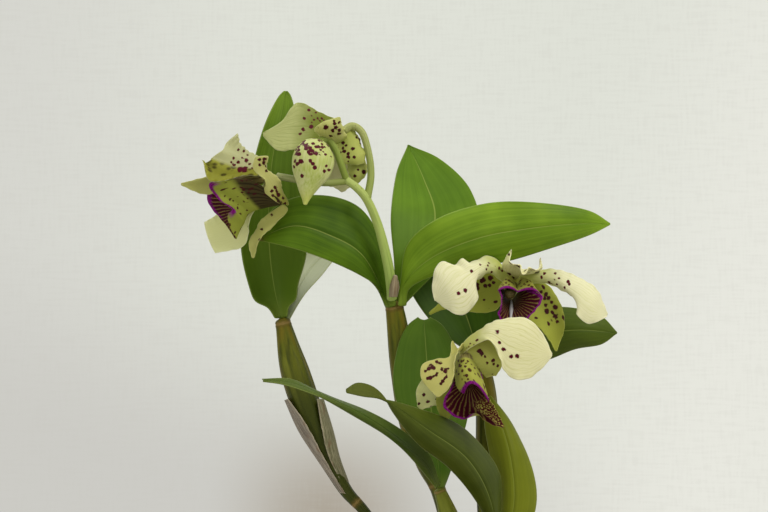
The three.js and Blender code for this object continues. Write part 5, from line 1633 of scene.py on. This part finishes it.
def drain_drill(number):
    """An upright rod of 40 sides at its place on the ring, as a mesh of its own."""
    angle = np.pi / 4 + 2 * np.pi * number / DRAIN_HOLES
    x, y = DRAIN_RING * np.cos(angle), DRAIN_RING * np.sin(angle)
    foot, top = -POT_FLOOR, 2 * POT_FLOOR
    rod = turned(np.array([[0, foot], [DRAIN_RADIUS, foot], [DRAIN_RADIUS, top], [0, top]]), 40)
    return {**rod, "points": rod["points"] + [x, y, 0]}


def cut_away(piece, part):
    """A Boolean difference, applied to the piece's mesh, so that no cutter has to stay."""
    cutter = bpy.data.meshes.new("drain drill")
    cutter.from_pydata(part["points"].tolist(), [], part["quads"].tolist() + part["ends"].tolist())
    tool = bpy.data.objects.new("drain drill", cutter)
    bpy.context.scene.collection.objects.link(tool)
    change = piece.modifiers.new("drain holes", "BOOLEAN")
    change.operation, change.object, change.solver = "DIFFERENCE", tool, "EXACT"
    evaluated = piece.evaluated_get(bpy.context.evaluated_depsgraph_get())
    drilled = bpy.data.meshes.new_from_object(evaluated)
    piece.modifiers.clear()
    piece.data = drilled
    bpy.data.objects.remove(tool)


cut_away(pot, stitched([drain_drill(number) for number in range(DRAIN_HOLES)]))
print("pot faces:", len(pot.data.polygons))

# %% [markdown]
# ## The bark
# Orchids are potted in chips of bark, not in soil. A chip is a flat block of a few dozen faces
# whose corners are pulled about, so no two are alike. They are strewn over the filling by a golden
# angle spiral, which spaces them evenly, then turned and tipped at random from a fixed seed, and
# those that would lie in a cane are left out. Under them lies the body of the filling.

# %% Bark chips
MIX_TOP = 96 * MM
MIX_SHOULDER = 3 * MM
CHIP_COUNT = 300
CHIP_MARGIN = 6 * MM
CANE_ROOM = 8 * MM
CROWN_HEIGHT = 1.5 * MM
CLEARANCE = 0.35 * MM
chance = np.random.default_rng(11)


def rounded_block(cuts=3):
    """A cube's six faces as small grids, pushed half way to a ball, with its corners shared."""
    side = np.linspace(-1, 1, cuts + 1)
    a, b = (w.ravel() for w in np.meshgrid(side, side, indexing="ij"))
    one = np.ones_like(a)
    faces = [(one, a, b), (-one, b, a), (b, one, a), (a, -one, b), (a, b, one), (b, a, -one)]
    points = np.concatenate([np.stack(face, axis=1) for face in faces])
    quads = np.concatenate([grid_quads(cuts + 1, cuts + 1) + n * len(a) for n in range(6)])
    shared, renumber = np.unique(points.round(6), axis=0, return_inverse=True)
    return 0.55 * shared + 0.45 * unit(shared) * 1.25, renumber.ravel()[quads]


def strewn_places(count, radius):
    """distance = radius sqrt(n / count) at n golden angles."""
    n = np.arange(count) + 0.5
    angle = n * np.pi * (3 - 5 ** 0.5)
    return radius * np.sqrt(n / count), angle


block, block_quads = rounded_block()
distance, angle = strewn_places(CHIP_COUNT, wall_radius(MIX_TOP) - POT_WALL - CHIP_MARGIN)
middles = np.stack([distance * np.cos(angle), distance * np.sin(angle)], axis=1)
cane_feet = np.array([place([form["path"][1]])[0][:2] for form in CANES.values()])
clear = np.linalg.norm(middles[:, None] - cane_feet[None], axis=2).min(axis=1) > CANE_ROOM
middles = middles[clear]
count = len(middles)
length = chance.uniform(5.0, 8.5, count)
width = length * chance.uniform(0.5, 0.8, count)
thickness = length * chance.uniform(0.22, 0.38, count)
size = np.stack([length, width, thickness], axis=1) * MM
flat_chips = block[None] * (1 + chance.uniform(-0.22, 0.22, (count, len(block), 3))) * size[:, None]
turn = chance.uniform(0, 2 * np.pi, count)
tip, roll = chance.normal(0, 0.35, (2, count))


def turned_about(points, angle, first, second):
    """Each chip's points turned by its angle in the plane of two axes."""
    cosine, sine = np.cos(angle)[:, None], np.sin(angle)[:, None]
    a, b = points[..., first].copy(), points[..., second].copy()
    points[..., first] = a * cosine - b * sine
    points[..., second] = a * sine + b * cosine
    return points


chips = turned_about(turned_about(turned_about(flat_chips.copy(), tip, 0, 2), roll, 1, 2), turn, 0, 1)
crown = CROWN_HEIGHT * (1 - (np.linalg.norm(middles, axis=1) / POT_TOP_RADIUS) ** 2)
rise = MIX_TOP - 1.0 * MM + crown + chance.uniform(-1.6, 1.6, count) * MM
chips += np.concatenate([middles, rise[:, None]], axis=1)[:, None]
chip_share = np.repeat(chance.uniform(0, 1, count), len(block))
all_chips = {
    "points": chips.reshape(-1, 3),
    "quads": (block_quads[None] + np.arange(count)[:, None, None] * len(block)).reshape(-1, 4),
    "ends": NO_ENDS,
    "grain": (flat_chips / MM).reshape(-1, 3),
    "share": np.stack([chip_share, chip_share * 0, chip_share * 0], axis=1),
    "spot": np.full(count * len(block), NO_SPOT),
}
filling_top = MIX_TOP - MIX_SHOULDER
mix_radius = wall_radius(filling_top) - POT_WALL - 2 * CLEARANCE
foot_radius = wall_radius(POT_FLOOR) - POT_WALL - 2 * CLEARANCE
filling_profile = np.array([
    [0, POT_FLOOR + CLEARANCE], [foot_radius, POT_FLOOR + CLEARANCE], [mix_radius, filling_top - MM],
    [mix_radius - MM, filling_top], [mix_radius / 2, filling_top + MM], [0, filling_top + MM],
])
filling = turned(filling_profile, 96)
bark_skin = bark_finish()
make_piece("bark_chips", all_chips, bark_skin, ["potting_mix"])
make_piece("bark_bed", filling, bark_skin, ["potting_mix"])
print("chips:", count)

# %% [markdown]
# ## Camera
# The eye stands 1.2 m in front of the pot's plane, level with the middle of the picture. Its field
# is as wide as the picture's columns at that plane, so the lens follows from the ruler.

# %% Camera
SENSOR = 36.0
field = IMAGE_WIDTH * GRID
camera_data = bpy.data.cameras.new("front eye")
camera_data.sensor_width = SENSOR
camera_data.lens = SENSOR * VIEW_DISTANCE / field
camera_data.clip_start, camera_data.clip_end = 0.05, 30
camera = bpy.data.objects.new("front eye", camera_data)
camera.location = (EYE_X, -VIEW_DISTANCE, EYE_Z)
camera.rotation_euler = (np.pi / 2, 0, 0)
bpy.context.scene.collection.objects.link(camera)
bpy.context.scene.camera = camera
print("lens in mm:", round(camera_data.lens, 1))


# %% [markdown]
# ## Light, world and floor
# The light is soft and comes from above and a little from the right, as in a bright room. The world
# is a pale woven cloth with painted light and shade: cooler and darker to the left and low down,
# brighter to the right, with a painted warm shadow low in the middle. Its threads are two noises
# that are stretched across each other. The pot stands on a pale disc.

# %% Lights, world and floor
FLOOR_RADIUS = 1.4
FLOOR_TOP = -0.2 * MM
FLOOR_THICKNESS = 1.0 * MM


def soft_light(name, place_at, aim_at, size, watts, colour):
    """A square area light whose back axis points away from what it lights."""
    lamp = bpy.data.lights.new(name, "AREA")
    lamp.size, lamp.energy, lamp.color = size, watts, colour
    holder = bpy.data.objects.new(name, lamp)
    holder.location = place_at
    back = unit(np.array(place_at, float) - np.array(aim_at, float))
    yaw, pitch = np.arctan2(back[0], -back[1]), np.arccos(back[2])
    holder.rotation_euler = (pitch, 0, yaw)
    bpy.context.scene.collection.objects.link(holder)


middle = (0.0, 0.0, 0.25)
soft_light("window", (0.9, -0.9, 1.5), middle, 0.9, 22, (1.0, 0.98, 0.94))
soft_light("sky", (-0.7, 0.3, 1.6), middle, 1.2, 10, (0.95, 0.98, 1.0))
soft_light("room", (-0.8, -1.5, 0.5), middle, 1.6, 6, (1.0, 0.99, 0.96))

world = bpy.data.worlds.new("pale room")
world.use_nodes = True
bpy.context.scene.world = world
Wire.tree = world.node_tree
sight = Wire.node("TexCoord", output=0)
down = part_of(sight, "Z")
right = part_of(sight, "X")
# painted light and shade on the cloth: darker to the left and low down, a painted shadow low in the middle,
# brighter to the right
cloth = blend(paint(223, 225, 215, 1), paint(214, 214, 207, 1), smooth(right, -0.03, -0.15))
cloth = blend(cloth, paint(204, 203, 197, 1), smooth(down + right * 0.3, -0.02, -0.11))
shadow = smooth(down, -0.05, -0.10) * smooth(abs(right + 0.02), 0.05, 0.0)
cloth = blend(cloth, paint(172, 164, 150, 1), shadow)
cloth = blend(cloth, paint(232, 232, 223, 1), smooth(right - down * 0.3, 0.05, 0.15))
weft = noise(scaled(sight, 90.0, 1.0, 900.0), 1.0, 1.0)
warp = noise(scaled(sight, 900.0, 1.0, 110.0), 1.0, 1.0)
cloth = blend(cloth, paint(196, 194, 186, 1), smooth(weft * 0.55 + warp * 0.45, 0.42, 0.70) * 0.14)
back = world.node_tree.nodes["Background"]
world.node_tree.links.new(cloth.socket, back.inputs["Color"])
back.inputs["Strength"].default_value = 1.0
bpy.context.scene.view_settings.view_transform = "Standard"

floor_finish = begin("pale floor")
dress(floor_finish, paint(226, 223, 216), 0.8)
floor = bpy.data.objects.new("floor", bpy.data.meshes.new("floor"))
under = FLOOR_TOP - FLOOR_THICKNESS
disc = turned(np.array([[0, under], [FLOOR_RADIUS, under], [FLOOR_RADIUS, FLOOR_TOP], [0, FLOOR_TOP]]), 96)
floor.data.from_pydata(disc["points"].tolist(), [], disc["quads"].tolist() + disc["ends"].tolist())
floor.data.materials.append(floor_finish)
bpy.context.scene.collection.objects.link(floor)
